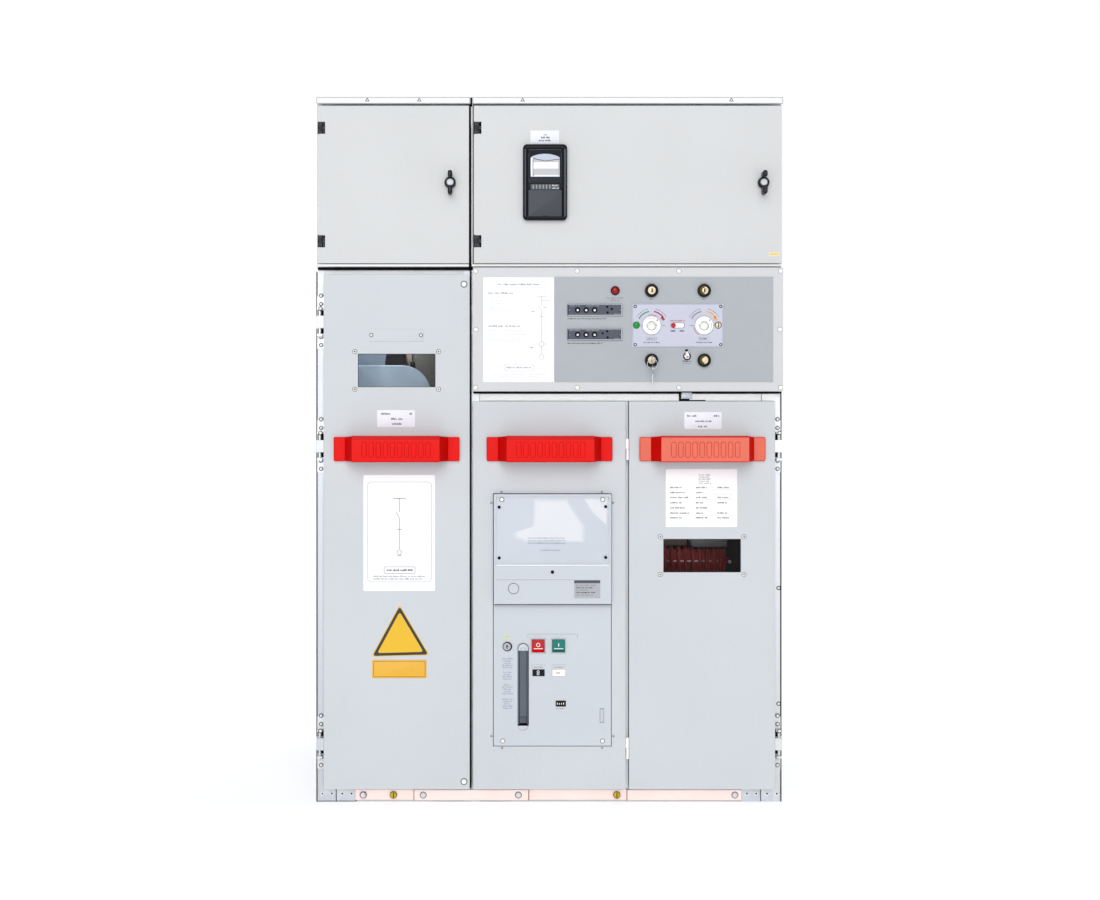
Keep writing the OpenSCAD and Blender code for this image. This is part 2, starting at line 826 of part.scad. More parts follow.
module incomer_door() color("#d5dadf") placed() {
    difference() {
        pan(incomer_x, tall_z, door_front, door_fold, door_t);
        window_hole(mid(incomer_x), incomer_window_z);
    }
}

module incomer_window() color("#9fb4bd", 0.4) placed() pane(mid(incomer_x), incomer_window_z);

module cable_door() color("#d5dadf") placed() {
    difference() {
        pan(cable_x, short_z, door_front, door_fold, door_t);
        window_hole(mid(cable_x), cable_window_z);
    }
}

module cable_window() color("#9fb4bd", 0.4) placed() pane(mid(cable_x), cable_window_z);

module breaker_door() color("#d5dadf") placed() {
    difference() {
        pan(middle_x, short_z, door_front, door_fold, door_t);
        block(grown(breaker_x, breaker_gap), [door_front - 1, door_front + door_t + 1],
              grown(breaker_z, breaker_gap));
    }
}

// A fixed hinge half: a plate screwed to the post, two lugs and the pin between them
module hinge_bracket(x, z) {
    reach = knuckle_h / 2 + lug_gap;
    block([x - bracket_x, x + bracket_x], [-bracket_t, 0],
          [z - reach - screw_reach, z + reach + screw_reach]);
    for (side = [[z - reach - lug_t, z - reach], [z + reach, z + reach + lug_t]])
        block([x - lug_x, x + lug_x], [hinge_y - lug_x, -1], side);
    rod_z(x, hinge_y, [z - reach - 1, z + reach + 1], hinge_pin_r);
}

module door_hinge_brackets() color("#c4c8cb") placed() {
    for (z = [low_hinge_z, mid_hinge_z, top_hinge_z]) hinge_bracket(left_hinge_x, z);
    for (z = [low_hinge_z, mid_hinge_z]) hinge_bracket(right_hinge_x, z);
}

// A moving hinge half: a block on the pin, fixed to the side of the door
module knuckle(x, z, edge) {
    half = knuckle_h / 2;
    wide = edge > x ? [x - knuckle_x, edge] : [edge, x + knuckle_x];
    difference() {
        block(wide, [door_front, door_front + knuckle_d], [z - half, z + half]);
        rod_z(x, hinge_y, [z - half - 1, z + half + 1], hinge_pin_r + pin_clear);
    }
}

module incomer_knuckles() color("#eceded") placed() {
    for (z = [low_hinge_z, mid_hinge_z, top_hinge_z]) knuckle(left_hinge_x, z, incomer_x[0]);
}

module cable_door_knuckles() color("#eceded") placed() {
    for (z = [low_hinge_z, mid_hinge_z]) knuckle(right_hinge_x, z, cable_x[1]);
}

// Seam hinges, fixed half: the lower barrel, the pin and a leaf back to the partition
module seam_hinges() color("#f1f2f3") placed() {
    for (z = seam_hinge_z) {
        rod_z(x_mid, seam_y, [z - barrel_len - 1, z - 1], barrel_r);
        rod_z(x_mid, seam_y, [z - 2, z + barrel_len - 2], seam_pin_r);
        block([x_mid - 1, x_mid + 1], [seam_y, 0], [z - barrel_len - 1, z - 1]);
    }
}

// Seam hinges, moving half: the upper barrel and a leaf on the edge of the breaker door
module breaker_door_knuckles() color("#f1f2f3") placed() {
    for (z = seam_hinge_z)
        difference() {
            union() {
                rod_z(x_mid, seam_y, [z, z + barrel_len], barrel_r);
                block([middle_x[1], x_mid], [seam_y - 1, seam_y + 1], [z, z + barrel_len]);
                block([middle_x[1], middle_x[1] + 1.5], [seam_y - 1, door_front + 20], [z, z + barrel_len]);
            }
            rod_z(x_mid, seam_y, [z - 1, z + barrel_len - 1], seam_pin_r + pin_clear);
        }
}

// ---- circuit breaker ----

// The mechanism case: a box open at the back, with a slot for the lever and two button wells
module breaker_case() color("#dcdedf") placed() {
    y = [case_front, case_front + breaker_d];
    well = button_w + 2 * button_room;
    pin_x = [slot_x - slot_w / 2 - 2, slot_x + slot_w / 2 + 2];
    difference() {
        union() {
            difference() {
                block(breaker_x, y, breaker_z);
                block(grown(breaker_x, -case_t), [y[0] + case_t, y[1] + 1], grown(breaker_z, -case_t));
            }
            for (side = [slot_x - slot_w / 2 - 4, slot_x + slot_w / 2])
                block([side, side + 4], [y[0] + 1, lever_y + 10], [lever_z - 10, lever_z + 10]);
            for (x = [open_x, close_x])
                block([x - well / 2 - 2, x + well / 2 + 2], [y[0] + 1, y[0] + 18],
                      [button_z - well / 2 - 2, button_z + well / 2 + 2]);
        }
        lever_slot();
        for (x = [open_x, close_x]) {
            block([x - well / 2, x + well / 2], [y[0] - 1, y[0] + 12],
                  [button_z - well / 2, button_z + well / 2]);
            rod_y(x, button_z, [y[0], y[0] + 20], stem_r + pin_clear);
        }
    }
    rod_x(pin_x, lever_y, lever_z, lever_pin_r);
}

module lever_slot() {
    r = slot_w / 2;
    y = [case_front - 1, case_front + case_t + 1];
    block([slot_x - r, slot_x + r], y, grown(slot_z, -r));
    for (z = grown(slot_z, -r)) rod_y(slot_x, z, y, r);
}

module breaker_cover() color("#e0e2e2") placed() {
    z = [breaker_z[1] - cover_h, breaker_z[1]];
    difference() {
        block(breaker_x, [cover_front, case_front], z);
        block(grown(breaker_x, -12), [cover_front - 1, cover_front + 8],
              [z[1] - shield_h, z[1] - 12]);
    }
}

module breaker_shield() color("#e6ecee", 0.4) placed() {
    z = breaker_z[1] - 6;
    block(grown(breaker_x, -5), [cover_front - shield_t, cover_front], [z - shield_h, z]);
}

// The charging lever: a boss on the pin and a flat grip up the slot
module charging_lever() color("#4b4c50") placed() {
    grip = [slot_x - lever_w / 2, slot_x + lever_w / 2];
    difference() {
        union() {
            rod_x(grip, lever_y, lever_z, boss_r);
            block(grip, [lever_y - 8, lever_y + 5], [lever_z, lever_z + 20]);
            block(grip, [lever_y - 13, lever_y + 5], [lever_z + 8, lever_z + lever_len - lever_w / 2]);
            rod_y(slot_x, lever_z + lever_len - lever_w / 2, [lever_y - 13, lever_y + 5], lever_w / 2);
        }
        rod_x(grown(grip, 1), lever_y, lever_z, lever_pin_r + pin_clear);
    }
}

// A square button on a round stem
module push_button(x) {
    half = button_w / 2;
    block([x - half, x + half], [case_front - 6, case_front + 12 - button_travel - 1],
          [button_z - half, button_z + half]);
    rod_y(x, button_z, [case_front, case_front + 26], stem_r);
}

module open_button() color("#c8202a") placed() push_button(open_x);

module close_button() color("#1c8f7c") placed() push_button(close_x);

// The truck that carries the breaker: two side cheeks and a deck
module breaker_cradle() color("#b9bdc1") placed() {
    y = [case_front + 60, case_front + breaker_d];
    z = [z_floor, breaker_z[0]];
    block(breaker_x, y, [z[1] - 4, z[1]]);
    for (x = [breaker_x[0], breaker_x[1] - 4]) block([x, x + 4], y, z);
}

// ---- behind the windows ----

// The load switch's moulded housing, bolted to the cabinet's side
module switch_housing() color("#a9bac6") placed() {
    x = [x_left + wall_t, mid(incomer_x) + 80];
    z = [incomer_window_z - 330, incomer_window_z + 21];
    r = switch_r;
    translate([0, switch_y, 0]) rotate([-90, 0, 0]) mirror([0, 1, 0]) linear_extrude(switch_d) {
        translate([x[0], z[0]]) square([size(x) - r, size(z)]);
        translate([x[0], z[0] + r]) square([size(x), size(z) - 2 * r]);
        for (cz = grown(z, -r)) translate([x[1] - r, cz]) circle(r = r);
    }
}

module switch_actuator() color("#15171b") placed() {
    x = mid(incomer_x) - 10;
    z = incomer_window_z + 21;
    translate([0, switch_y + 30, 0]) rotate([-90, 0, 0]) mirror([0, 1, 0]) linear_extrude(90)
        polygon([[x - 28, z], [x + 28, z], [x + 22, z + 45], [x - 22, z + 45]]);
}

// A ribbed resin insulator, standing out from the partition
module post_insulator() color("#7c1f16") placed() {
    z = cable_window_z - 22;
    x = [x_mid + wall_t / 2, mid(cable_x) + 82];
    ribs = floor((size(x) - 20) / rib_pitch);
    rod_x(x, insulator_y, z, insulator_r);
    for (k = [1:ribs])
        rod_x([x[1] - rib_pitch * k, x[1] - rib_pitch * k + 8], insulator_y, z, rib_r);
    rod_x([x[1] - 1, x[1] + 10], insulator_y, z, 7);
}

// The grey bushing that hangs from the cable compartment's shelf
module cable_bushing() color("#77797a") placed() {
    x = mid(cable_x) + 12;
    top = z_panel - rail_h - partition_shelf_drop;
    round_z = cable_window_z + 26 + bushing_r;
    rod_z(x, bushing_y, [round_z, top], bushing_r);
    translate([x, bushing_y, round_z]) sphere(r = bushing_r);
}

incomer_side_walls();
breaker_side_walls();
back_walls();
roof_plates();
shelves();
base_frames();
floor_plates();
earth_bar();
center_partition();
panel_rail();
interlock_tongue();
left_lv_box();
right_lv_box();
lv_lids();
lv_hinge_blocks();
left_lv_door();
left_lv_knuckles();
left_lv_knob();
right_lv_door();
right_lv_knuckles();
right_lv_knob();
relay_case();
operating_panel();
panel_frame();
fascia();
drive_plate();
line_drive();
earth_drive();
selector_slide();
lock_bezels();
lock_cylinders();
hanging_keys();
pilot_lamp();
voltage_indicators();
toggle_bush();
toggle_lever();
incomer_door();
incomer_knuckles();
incomer_handle();
incomer_window();
breaker_door();
breaker_door_knuckles();
breaker_handle();
cable_door();
cable_door_knuckles();
cable_handle();
cable_window();
door_hinge_brackets();
seam_hinges();
breaker_case();
breaker_cover();
breaker_shield();
breaker_cradle();
charging_lever();
open_button();
close_button();
switch_housing();
switch_actuator();
post_insulator();
cable_bushing();
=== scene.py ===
"""The looks of a medium voltage switchgear: a narrow incoming cabinet and a wide circuit
breaker cabinet, each with a low voltage box on top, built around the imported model."""

import logging
import math
import random
from dataclasses import dataclass, field
from enum import Enum

import bmesh
import bpy
from mathutils import Matrix, Vector


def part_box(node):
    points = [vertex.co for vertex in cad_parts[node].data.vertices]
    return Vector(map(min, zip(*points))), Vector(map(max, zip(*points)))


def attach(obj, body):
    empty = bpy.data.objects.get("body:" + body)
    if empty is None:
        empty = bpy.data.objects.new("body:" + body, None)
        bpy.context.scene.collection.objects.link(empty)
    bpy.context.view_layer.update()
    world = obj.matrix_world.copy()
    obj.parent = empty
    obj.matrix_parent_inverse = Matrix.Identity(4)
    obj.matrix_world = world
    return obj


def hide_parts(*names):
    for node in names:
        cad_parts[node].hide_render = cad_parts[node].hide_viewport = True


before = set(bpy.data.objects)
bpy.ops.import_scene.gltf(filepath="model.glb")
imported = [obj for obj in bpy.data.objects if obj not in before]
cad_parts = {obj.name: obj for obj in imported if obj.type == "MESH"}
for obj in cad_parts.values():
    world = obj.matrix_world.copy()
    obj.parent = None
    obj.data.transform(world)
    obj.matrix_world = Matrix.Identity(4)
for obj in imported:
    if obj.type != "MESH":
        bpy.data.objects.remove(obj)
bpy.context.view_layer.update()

LOG = logging.getLogger("switchgear")
MM = 0.001
PRINT = 0.12  # thickness of printed ink, so that it stands clear of its sheet
THINNEST = 0.03  # the smallest radius that a turned piece may close to


def linear(colour: str) -> tuple[float, float, float, float]:
    """Turns an sRGB hex colour to linear light.

    Args:
        colour: six hex digits after a #.

    Returns:
        Red, green, blue and an alpha of 1.
    """
    parts = [int(colour[k : k + 2], 16) / 255 for k in (1, 3, 5)]
    lit = [p / 12.92 if p <= 0.04045 else ((p + 0.055) / 1.055) ** 2.4 for p in parts]
    return (*lit, 1)


def add(
    tree: bpy.types.NodeTree, kind: str, settings: dict | None = None, links: dict | None = None
) -> bpy.types.Node:
    """Adds a shader node with its settings and links.

    Args:
        tree: the node tree.
        kind: the node's type, without the ShaderNode prefix.
        settings: values for the node's inputs or properties, by name or input number.
        links: output sockets for the node's inputs, by name or input number.

    Returns:
        The new node.
    """
    made = tree.nodes.new("ShaderNode" + kind)
    for key, value in (settings or {}).items():
        if isinstance(key, str) and hasattr(made, key):
            setattr(made, key, value)
        else:
            made.inputs[key].default_value = value
    for key, source in (links or {}).items():
        tree.links.new(source, made.inputs[key])
    return made


def per_metre(size_mm: float) -> float:
    """The scale that gives a pattern this size in millimetres."""
    return 1 / (size_mm * MM)


# ---- finishes ----

Socket = bpy.types.NodeSocket
NOISE_RANGE = (0.3, 0.7)  # where nearly all values of a noise lie


class Nodes:
    """The nodes of one material while its pattern is drawn."""

    def __init__(self, made: bpy.types.Material) -> None:
        """Takes up a new material."""
        made.use_nodes = True
        self.tree = made.node_tree
        self.shader = self.tree.nodes["Principled BSDF"]
        self.place = add(self.tree, "TexCoord").outputs["Object"]

    def set(self, values: dict[str, float | tuple]) -> None:
        """Sets the shader's sockets to plain values."""
        for socket, value in values.items():
            self.shader.inputs[socket].default_value = value

    def link(self, source: Socket, socket: str) -> None:
        """Leads a value into a socket of the shader."""
        self.tree.links.new(source, self.shader.inputs[socket])

    def noise(
        self, size_mm: float, detail: float = 2.0, rough: float = 0.5, place: Socket | None = None
    ) -> Socket:
        """Adds cloudy noise: the size of its patches, how many finer layers, and how strong those are."""
        settings = {"Scale": per_metre(size_mm), "Detail": detail, "Roughness": rough}
        at = self.place if place is None else place
        return add(self.tree, "TexNoise", settings, {"Vector": at}).outputs[0]

    def cells(self, size_mm: float, output: str, feature: str = "F1") -> Socket:
        """Adds a pattern of cells of this size and hands out one of its sockets."""
        settings = {"Scale": per_metre(size_mm), "feature": feature}
        return add(self.tree, "TexVoronoi", settings, {"Vector": self.place}).outputs[output]

    def spread(
        self, value: Socket, low: float, high: float, start: float = 0.0, end: float = 1.0
    ) -> Socket:
        """Takes values between start and end over to the range from low to high."""
        settings = {"From Min": start, "From Max": end, "To Min": low, "To Max": high}
        return add(self.tree, "MapRange", settings, {"Value": value}).outputs[0]

    def join(self, operation: str, first: Socket, second: Socket) -> Socket:
        """Adds or multiplies two values."""
        return add(self.tree, "Math", {"operation": operation}, {0: first, 1: second}).outputs[0]

    def mix(self, share: float, first: Socket, second: Socket) -> Socket:
        """Mixes two values; the share is that of the second."""
        return add(self.tree, "Mix", {"data_type": "FLOAT", 0: share}, {2: first, 3: second}).outputs[0]

    def tint(self, colour: str, factor: Socket) -> None:
        """Paints the surface in a colour made lighter and darker by a factor."""
        settings = {"operation": "SCALE", 0: linear(colour)[:3]}
        self.link(add(self.tree, "VectorMath", settings, {"Scale": factor}).outputs[0], "Base Color")

    def shade(self, colour: str, size_mm: float, amount: float) -> None:
        """Varies a colour softly around its own value, in patches of this size."""
        patches = self.noise(size_mm, 3, 0.6)
        self.tint(colour, self.spread(patches, 1 - amount, 1 + amount, *NOISE_RANGE))

    def gloss(self, value: Socket, low: float, high: float) -> None:
        """Varies the roughness from low to high."""
        self.link(self.spread(value, low, high), "Roughness")

    def bump(self, height: Socket, depth_mm: float) -> None:
        """Raises the surface by a height from 0 to 1, where 1 stands this deep over 0."""
        made = add(self.tree, "Bump", {"Distance": depth_mm * MM}, {"Height": height})
        self.link(made.outputs[0], "Normal")


@dataclass(frozen=True)
class Finish:
    """A surface: what it is made of and how, with its colour and its gloss."""

    name: str
    colour: str
    roughness: float = 0.5
    metallic: float = 0.0

    def material(self) -> bpy.types.Material:
        """Makes the material once, and hands it out again after that."""
        found = bpy.data.materials.get("mat_" + self.name)
        if found:
            return found
        made = bpy.data.materials.new("mat_" + self.name)
        nodes = Nodes(made)
        nodes.set(
            {"Base Color": linear(self.colour), "Roughness": self.roughness, "Metallic": self.metallic}
        )
        self.draw(nodes)
        return made

    def draw(self, nodes: Nodes) -> None:
        """Adds the pattern of the material."""
        raise NotImplementedError


@dataclass(frozen=True)
class PowderCoat(Finish):
    """Polyester powder baked on steel sheet: an even colour with a fine orange peel, which
    breaks up the gloss and gives the eye a faint grain."""

    roughness: float = 0.42
    grain_mm: float = 5.0  # real orange peel is 1 to 2 mm; drawn coarser so that it shows
    depth_mm: float = 0.07
    contrast: float = 0.02

    def draw(self, nodes: Nodes) -> None:
        """Adds clouding, fine grain and orange peel."""
        grain = nodes.noise(self.grain_mm, 4, 0.65)
        fine = nodes.spread(grain, -self.contrast, self.contrast, *NOISE_RANGE)
        clouds = nodes.spread(nodes.noise(260), 0.985, 1.01, 0.35, 0.65)
        nodes.tint(self.colour, nodes.join("ADD", fine, clouds))
        nodes.gloss(grain, self.roughness - 0.05, self.roughness + 0.07)
        nodes.bump(grain, self.depth_mm)


@dataclass(frozen=True)
class Galvanised(Finish):
    """Hot dip galvanised sheet: zinc crystals 8 to 20 mm wide, each a shade apart, give the
    eye a faint frosted patchwork. Its colour is painted darker towards the foot of a tall sheet, as painted
    shade."""

    roughness: float = 0.38
    metallic: float = 0.85
    spangle_mm: float = 14.0
    contrast: float = 0.05
    # The share of the colour left at the floor, and the height in metres up to which it rises back to full:
    # painted shade.
    foot: float = 1.0
    shade_up_to: float = 1.2  # metres over the floor

    def draw(self, nodes: Nodes) -> None:
        """Adds crystals, a brushed haze and the painted shade towards the foot."""
        crystals = nodes.cells(self.spangle_mm, "Color")
        tone = add(nodes.tree, "SeparateColor", {}, {0: crystals}).outputs[0]
        mixed = nodes.mix(0.55, tone, nodes.noise(90, 5, 0.6))
        shine = nodes.spread(mixed, 1 - self.contrast, 1 + self.contrast)
        # Painted shade: the colour darkens towards the floor.
        height = add(nodes.tree, "SeparateXYZ", {}, {0: nodes.place}).outputs[2]
        foot_shade = nodes.spread(height, self.foot, 1, end=self.shade_up_to)
        nodes.tint(self.colour, nodes.join("MULTIPLY", shine, foot_shade))
        nodes.gloss(mixed, self.roughness - 0.08, self.roughness + 0.12)


@dataclass(frozen=True)
class DrawnMetal(Finish):
    """Rolled, drawn or turned metal: fine lines along one way, which stretch the highlights."""

    roughness: float = 0.3
    metallic: float = 1.0
    along: tuple[float, float, float] = (0.03, 1, 1)  # stretch of the lines on each axis
    line_mm: float = 2.4  # real marks are under 0.5 mm; drawn wider so that they show
    contrast: float = 0.08

    def draw(self, nodes: Nodes) -> None:
        """Adds drawing lines and slight tarnish."""
        drawn = add(nodes.tree, "VectorMath", {"operation": "MULTIPLY", 1: self.along}, {0: nodes.place})
        lines = nodes.noise(self.line_mm, 4, 0.7, drawn.outputs[0])
        mixed = nodes.mix(0.45, lines, nodes.noise(60, 4))
        shine = nodes.spread(mixed, 1 - self.contrast, 1 + self.contrast, *NOISE_RANGE)
        nodes.tint(self.colour, shine)
        nodes.gloss(lines, self.roughness - 0.1, self.roughness + 0.14)
        nodes.bump(lines, 0.015)


@dataclass(frozen=True)
class Moulded(Finish):
    """Injection moulded plastic with a spark eroded tool texture: a fine pebble that softens
    the highlights."""

    pebble_mm: float = 3.0  # real pebble is about 0.5 mm; drawn coarser so that it shows
    depth_mm: float = 0.05
    gloss: float = 0.5

    def draw(self, nodes: Nodes) -> None:
        """Adds the pebble and a slight change of shade."""
        nodes.shade(self.colour, 40, 0.035)
        pebble = nodes.cells(self.pebble_mm, "Distance", "SMOOTH_F1")
        nodes.gloss(pebble, self.roughness - 0.06, self.roughness + 0.08)
        nodes.set({"Specular IOR Level": self.gloss})
        nodes.bump(pebble, self.depth_mm)


@dataclass(frozen=True)
class Cast(Finish):
    """Epoxy resin cast in a polished mould: smooth and glossy, with slow ripples and darker
    clouds where the filler gathered."""

    roughness: float = 0.2

    def draw(self, nodes: Nodes) -> None:
        """Adds clouds and slow ripples."""
        nodes.shade(self.colour, 55, 0.14)
        nodes.bump(nodes.noise(18), 0.12)


@dataclass(frozen=True)
class Printed(Finish):
    """Ink or a laminated sheet: flat, with a slight unevenness of the film."""

    roughness: float = 0.35

    def draw(self, nodes: Nodes) -> None:
        """Adds a slight unevenness in shade and gloss."""
        nodes.shade(self.colour, 30, 0.012)
        nodes.gloss(nodes.noise(22), self.roughness - 0.05, self.roughness + 0.08)


@dataclass(frozen=True)
class Clear(Finish):
    """Extruded polycarbonate sheet: nearly colourless and glossy, with a faint haze."""

    roughness: float = 0.06
    alpha: float = 0.2

    def draw(self, nodes: Nodes) -> None:
        """Lets what is behind show, and adds faint wipe marks."""
        nodes.set({"Alpha": self.alpha, "IOR": 1.58})
        nodes.shade(self.colour, 80, 0.05)
        nodes.gloss(nodes.noise(45, 4), self.roughness, self.roughness + 0.08)


@dataclass(frozen=True)
class Lens(Finish):
    """Coloured transparent plastic over a dark lamp: deep colour and a sharp highlight."""

    roughness: float = 0.12

    def draw(self, nodes: Nodes) -> None:
        """Adds a clear coat over the colour."""
        nodes.shade(self.colour, 6, 0.12)
        nodes.set({"Coat Weight": 0.25, "Specular IOR Level": 0.2, "Coat Roughness": 0.05})


@dataclass(frozen=True)
class LitPaper(Finish):
    """Translucent white paper over a light table: matt, and faintly bright by itself, so that
    the floor stays pale under the object."""

    glow: float = 0.42

    def draw(self, nodes: Nodes) -> None:
        """Adds the paper's slight cloudiness and its glow."""
        nodes.shade(self.colour, 700, 0.006)
        nodes.set({"Emission Color": linear("#ffffff"), "Emission Strength": self.glow})


DOOR_PAINT = PowderCoat("door_powder_coat", "#c3c8cd")
BOX_PAINT = PowderCoat("box_powder_coat", "#c9cbcd")
PANEL_PAINT = PowderCoat("panel_powder_coat", "#c8cacd")
BREAKER_PAINT = PowderCoat("breaker_powder_coat", "#c1c7cf", contrast=0.01)
LID_PAINT = PowderCoat("lid_powder_coat", "#e6e7e7")
OLIVE = PowderCoat("rear_plate_olive_coat", "#37362f")
BROWN = PowderCoat("barrier_plate_brown_coat", "#4a3a31")
# The left posts take a darker copy of the right posts' galvanised sheet: painted shade.
SHADED_LEFT_ZINC = Galvanised("left_post_galvanised_sheet_painted_shade", "#ced3db", metallic=0.5, foot=0.8)
RIGHT_ZINC = Galvanised("right_post_galvanised_sheet", "#e9ecf0", metallic=0.5, foot=0.72)
WALL_ZINC = Galvanised("wall_galvanised_sheet", "#d3d6d9", metallic=0.25)
RAIL_ZINC = Galvanised("rail_bright_galvanised", "#fcfcfc", metallic=0, contrast=0.02)
DARK_STEEL = Galvanised("base_galvanised_angle", "#aeb3b7")
PLATE_STEEL = Galvanised("corner_plate_galvanised", "#c3c8d0", metallic=0.3)
COPPER = DrawnMetal("drawn_copper_bar", "#f2dad5", roughness=0.36, metallic=0.5, contrast=0.05)
PASSIVATED = DrawnMetal("yellow_passivated_steel", "#b7a32a", roughness=0.45, metallic=0.6)
BRASS = DrawnMetal(
    "turned_brass", "#d6c8a6", roughness=0.36, along=(1, 0.1, 1), line_mm=1.5, metallic=0.4
)
# Painted shade: a dark brass for the crescent over one side of a lock's face.
LOCK_SHADE = DrawnMetal("lock_face_painted_shade", "#4d462c", roughness=0.4)
ZINC_SCREW = DrawnMetal("zinc_plated_screw", "#cfd2d6", along=(1, 1, 1))
CHROME = DrawnMetal("chromed_zinc_die_casting", "#c6c3c7", roughness=0.16, contrast=0.04)
STEEL_KEY = DrawnMetal("nickel_plated_steel", "#b4b5b8", roughness=0.24)
# Black rubber, and also the black of painted shade in gaps, sockets, slots and under edges.
BLACK_RUBBER_AND_SHADE = Moulded("black_rubber_and_painted_shade", "#0d0e11", roughness=0.7, gloss=0.08)
BLACK = Moulded("black_polyamide", "#060608", roughness=0.34, gloss=0.18)
SOFT_BLACK = Moulded("hinge_polyamide", "#2d313b", gloss=0.3)
RELAY = Moulded("relay_housing_abs", "#22262e", roughness=0.42, gloss=0.15)
RELAY_FLAP = Moulded("relay_flap_abs", "#393d46", roughness=0.4, gloss=0.3)
RELAY_BLACK = Moulded("relay_inner_abs", "#13151a", roughness=0.35, gloss=0.1)
RED_GRIP = Moulded("handle_glass_filled_polyamide", "#df110d", pebble_mm=2.6, depth_mm=0.12, gloss=0.15)
# Painted shade: a darker, duller copy of the handle's red, for its steep returns, the lines along its edges
# and ribs, and the foot of the open button.
RED_PAINTED_SHADE = Moulded(
    "handle_painted_shade_polyamide", "#c60200", roughness=0.7, pebble_mm=2.6, depth_mm=0.1, gloss=0.05
)
# Painted shade: a deeper red for the radius along the bar's top.
RED_TOP_SHADE = Moulded("handle_top_painted_shade_polyamide", "#c20a08", pebble_mm=2.6, depth_mm=0.1, gloss=0.2)
# Painted sheen: a paler salmon red for the cable door's handle, where it catches the light.
PAINTED_SHEEN_GRIP = Moulded("handle_painted_sheen_polyamide", "#dd6a55", pebble_mm=2.2, depth_mm=0.25, gloss=0.35)
SLATE = Moulded("lever_glass_filled_polyamide", "#545c67", gloss=0.3)
INDICATOR = Moulded("indicator_polycarbonate", "#4a4f5c", roughness=0.45, gloss=0.3)
WHITE_PLASTIC = Moulded("white_polyamide", "#f0f0ee", roughness=0.35, depth_mm=0.02)
GREY_PLASTIC = Moulded("grey_abs", "#8f949b", roughness=0.45, depth_mm=0.02)
RED_PLASTIC = Moulded("red_abs", "#b30d14", roughness=0.35, depth_mm=0.02, gloss=0.3)
GREEN_PLASTIC = Moulded("green_abs", "#007268", roughness=0.35, depth_mm=0.02, gloss=0.3)
DEEP_GREEN = Moulded("green_abs_shade", "#045343", roughness=0.4, depth_mm=0.02, gloss=0.2)
RED_LENS = Lens("red_lamp_lens", "#8e0208")
GREEN_LENS = Lens("green_lamp_lens", "#0b8a2c")
FASCIA = Printed("fascia_screen_print", "#a3a8af", roughness=0.4)
DRIVE_SHEET = Printed("drive_plate_screen_print", "#bcbed0", roughness=0.3)
SHEET_WHITE = Printed("laminated_white_sheet", "#f3f3f7", roughness=0.3)
LABEL_WHITE = Printed("white_label_film", "#e6e8f1")
YELLOW = Printed("yellow_label_film", "#e2b300")
PALE_YELLOW = Printed("pale_yellow_label_film", "#e8dca4")
LIME = Printed("lime_yellow_ink", "#cfd052")
AMBER = Printed("amber_label_film", "#e2ab28")
HAZE = Printed("hazed_film", "#c3cad4", roughness=0.4)
RATING = Printed("rating_plate_grey_film", "#a6a9b1")
INK = Printed("black_ink", "#1b1b21")
GREY_INK = Printed("grey_ink", "#7d808a")
FAINT_INK = Printed("pale_grey_ink", "#d0d2d8")
BLUE_GREY_INK = Printed("blue_grey_ink", "#8f97ab")
WHITE_INK = Printed("white_ink", "#eff0f4")
CRIMSON_INK = Printed("crimson_ink", "#a30f42")
GREEN_INK = Printed("green_ink", "#3f7a5c")
AMBER_INK = Printed("orange_ink", "#e29b38")
SCREEN = Printed("display_film", "#aebccf", roughness=0.18)
SCREEN_LOW = Printed("display_grey_film", "#b2b2b9", roughness=0.18)
PANE = Clear("window_polycarbonate", "#0c0e10", alpha=0.06)
SHIELD = Clear("shield_polycarbonate", "#e3e8ee", alpha=0.12)
HOUSING = Cast("switch_epoxy_housing", "#8fa2b4", roughness=0.35)
RED_RESIN = Cast("insulator_epoxy_resin", "#780703", roughness=0.6)
GREY_RESIN = Cast("bushing_silicone_rubber", "#5f6062", roughness=0.5)
# Painted shade: a dark brown for the board that darkens the cable compartment.
SHADE_BOARD = Cast("dark_brown_painted_shade_board", "#241712", roughness=0.6)
BEIGE_STRIP = Cast("pressboard_strip", "#a8978c", roughness=0.6)


# ---- geometry ----


class Side(Enum):
    """A side that pieces are built on: its right, upward and outward axes."""

    FRONT = ((1, 0, 0), (0, 0, 1), (0, -1, 0))
    LEFT = ((0, -1, 0), (0, 0, 1), (-1, 0, 0))
    RIGHT = ((0, 1, 0), (0, 0, 1), (1, 0, 0))
    TOP = ((1, 0, 0), (0, 1, 0), (0, 0, 1))

    def turn(self) -> Matrix:
        """The turn from right, up and out to the shared frame."""
        return Matrix(self.value).transposed().to_4x4()


class Head(Enum):
    """What a screwdriver finds in a screw's head."""

    SOCKET = "socket"
    SLOT = "slot"
    CROSS = "cross"
    PLAIN = "plain"


Point = tuple[float, float]
Span = tuple[float, float]
Place = tuple[float, float, float]


@dataclass(frozen=True)
class Box:
    """A CAD piece's box in millimetres, seen from the front: across, up and outwards."""

    x0: float
    x1: float
    z0: float
    z1: float
    back: float
    front: float

    @classmethod
    def of(cls, node: str) -> "Box":
        """The box of a CAD node."""
        low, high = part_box(node)
        return cls(low.x / MM, high.x / MM, low.z / MM, high.z / MM, -high.y / MM, -low.y / MM)

    @property
    def x(self) -> float:
        """The middle, across."""
        return (self.x0 + self.x1) / 2

    @property
    def z(self) -> float:
        """The middle, upwards."""
        return (self.z0 + self.z1) / 2


def rect(u: Span, v: Span) -> list[Point]:
    """The corners of a rectangle, anticlockwise."""
    return [(u[0], v[0]), (u[1], v[0]), (u[1], v[1]), (u[0], v[1])]


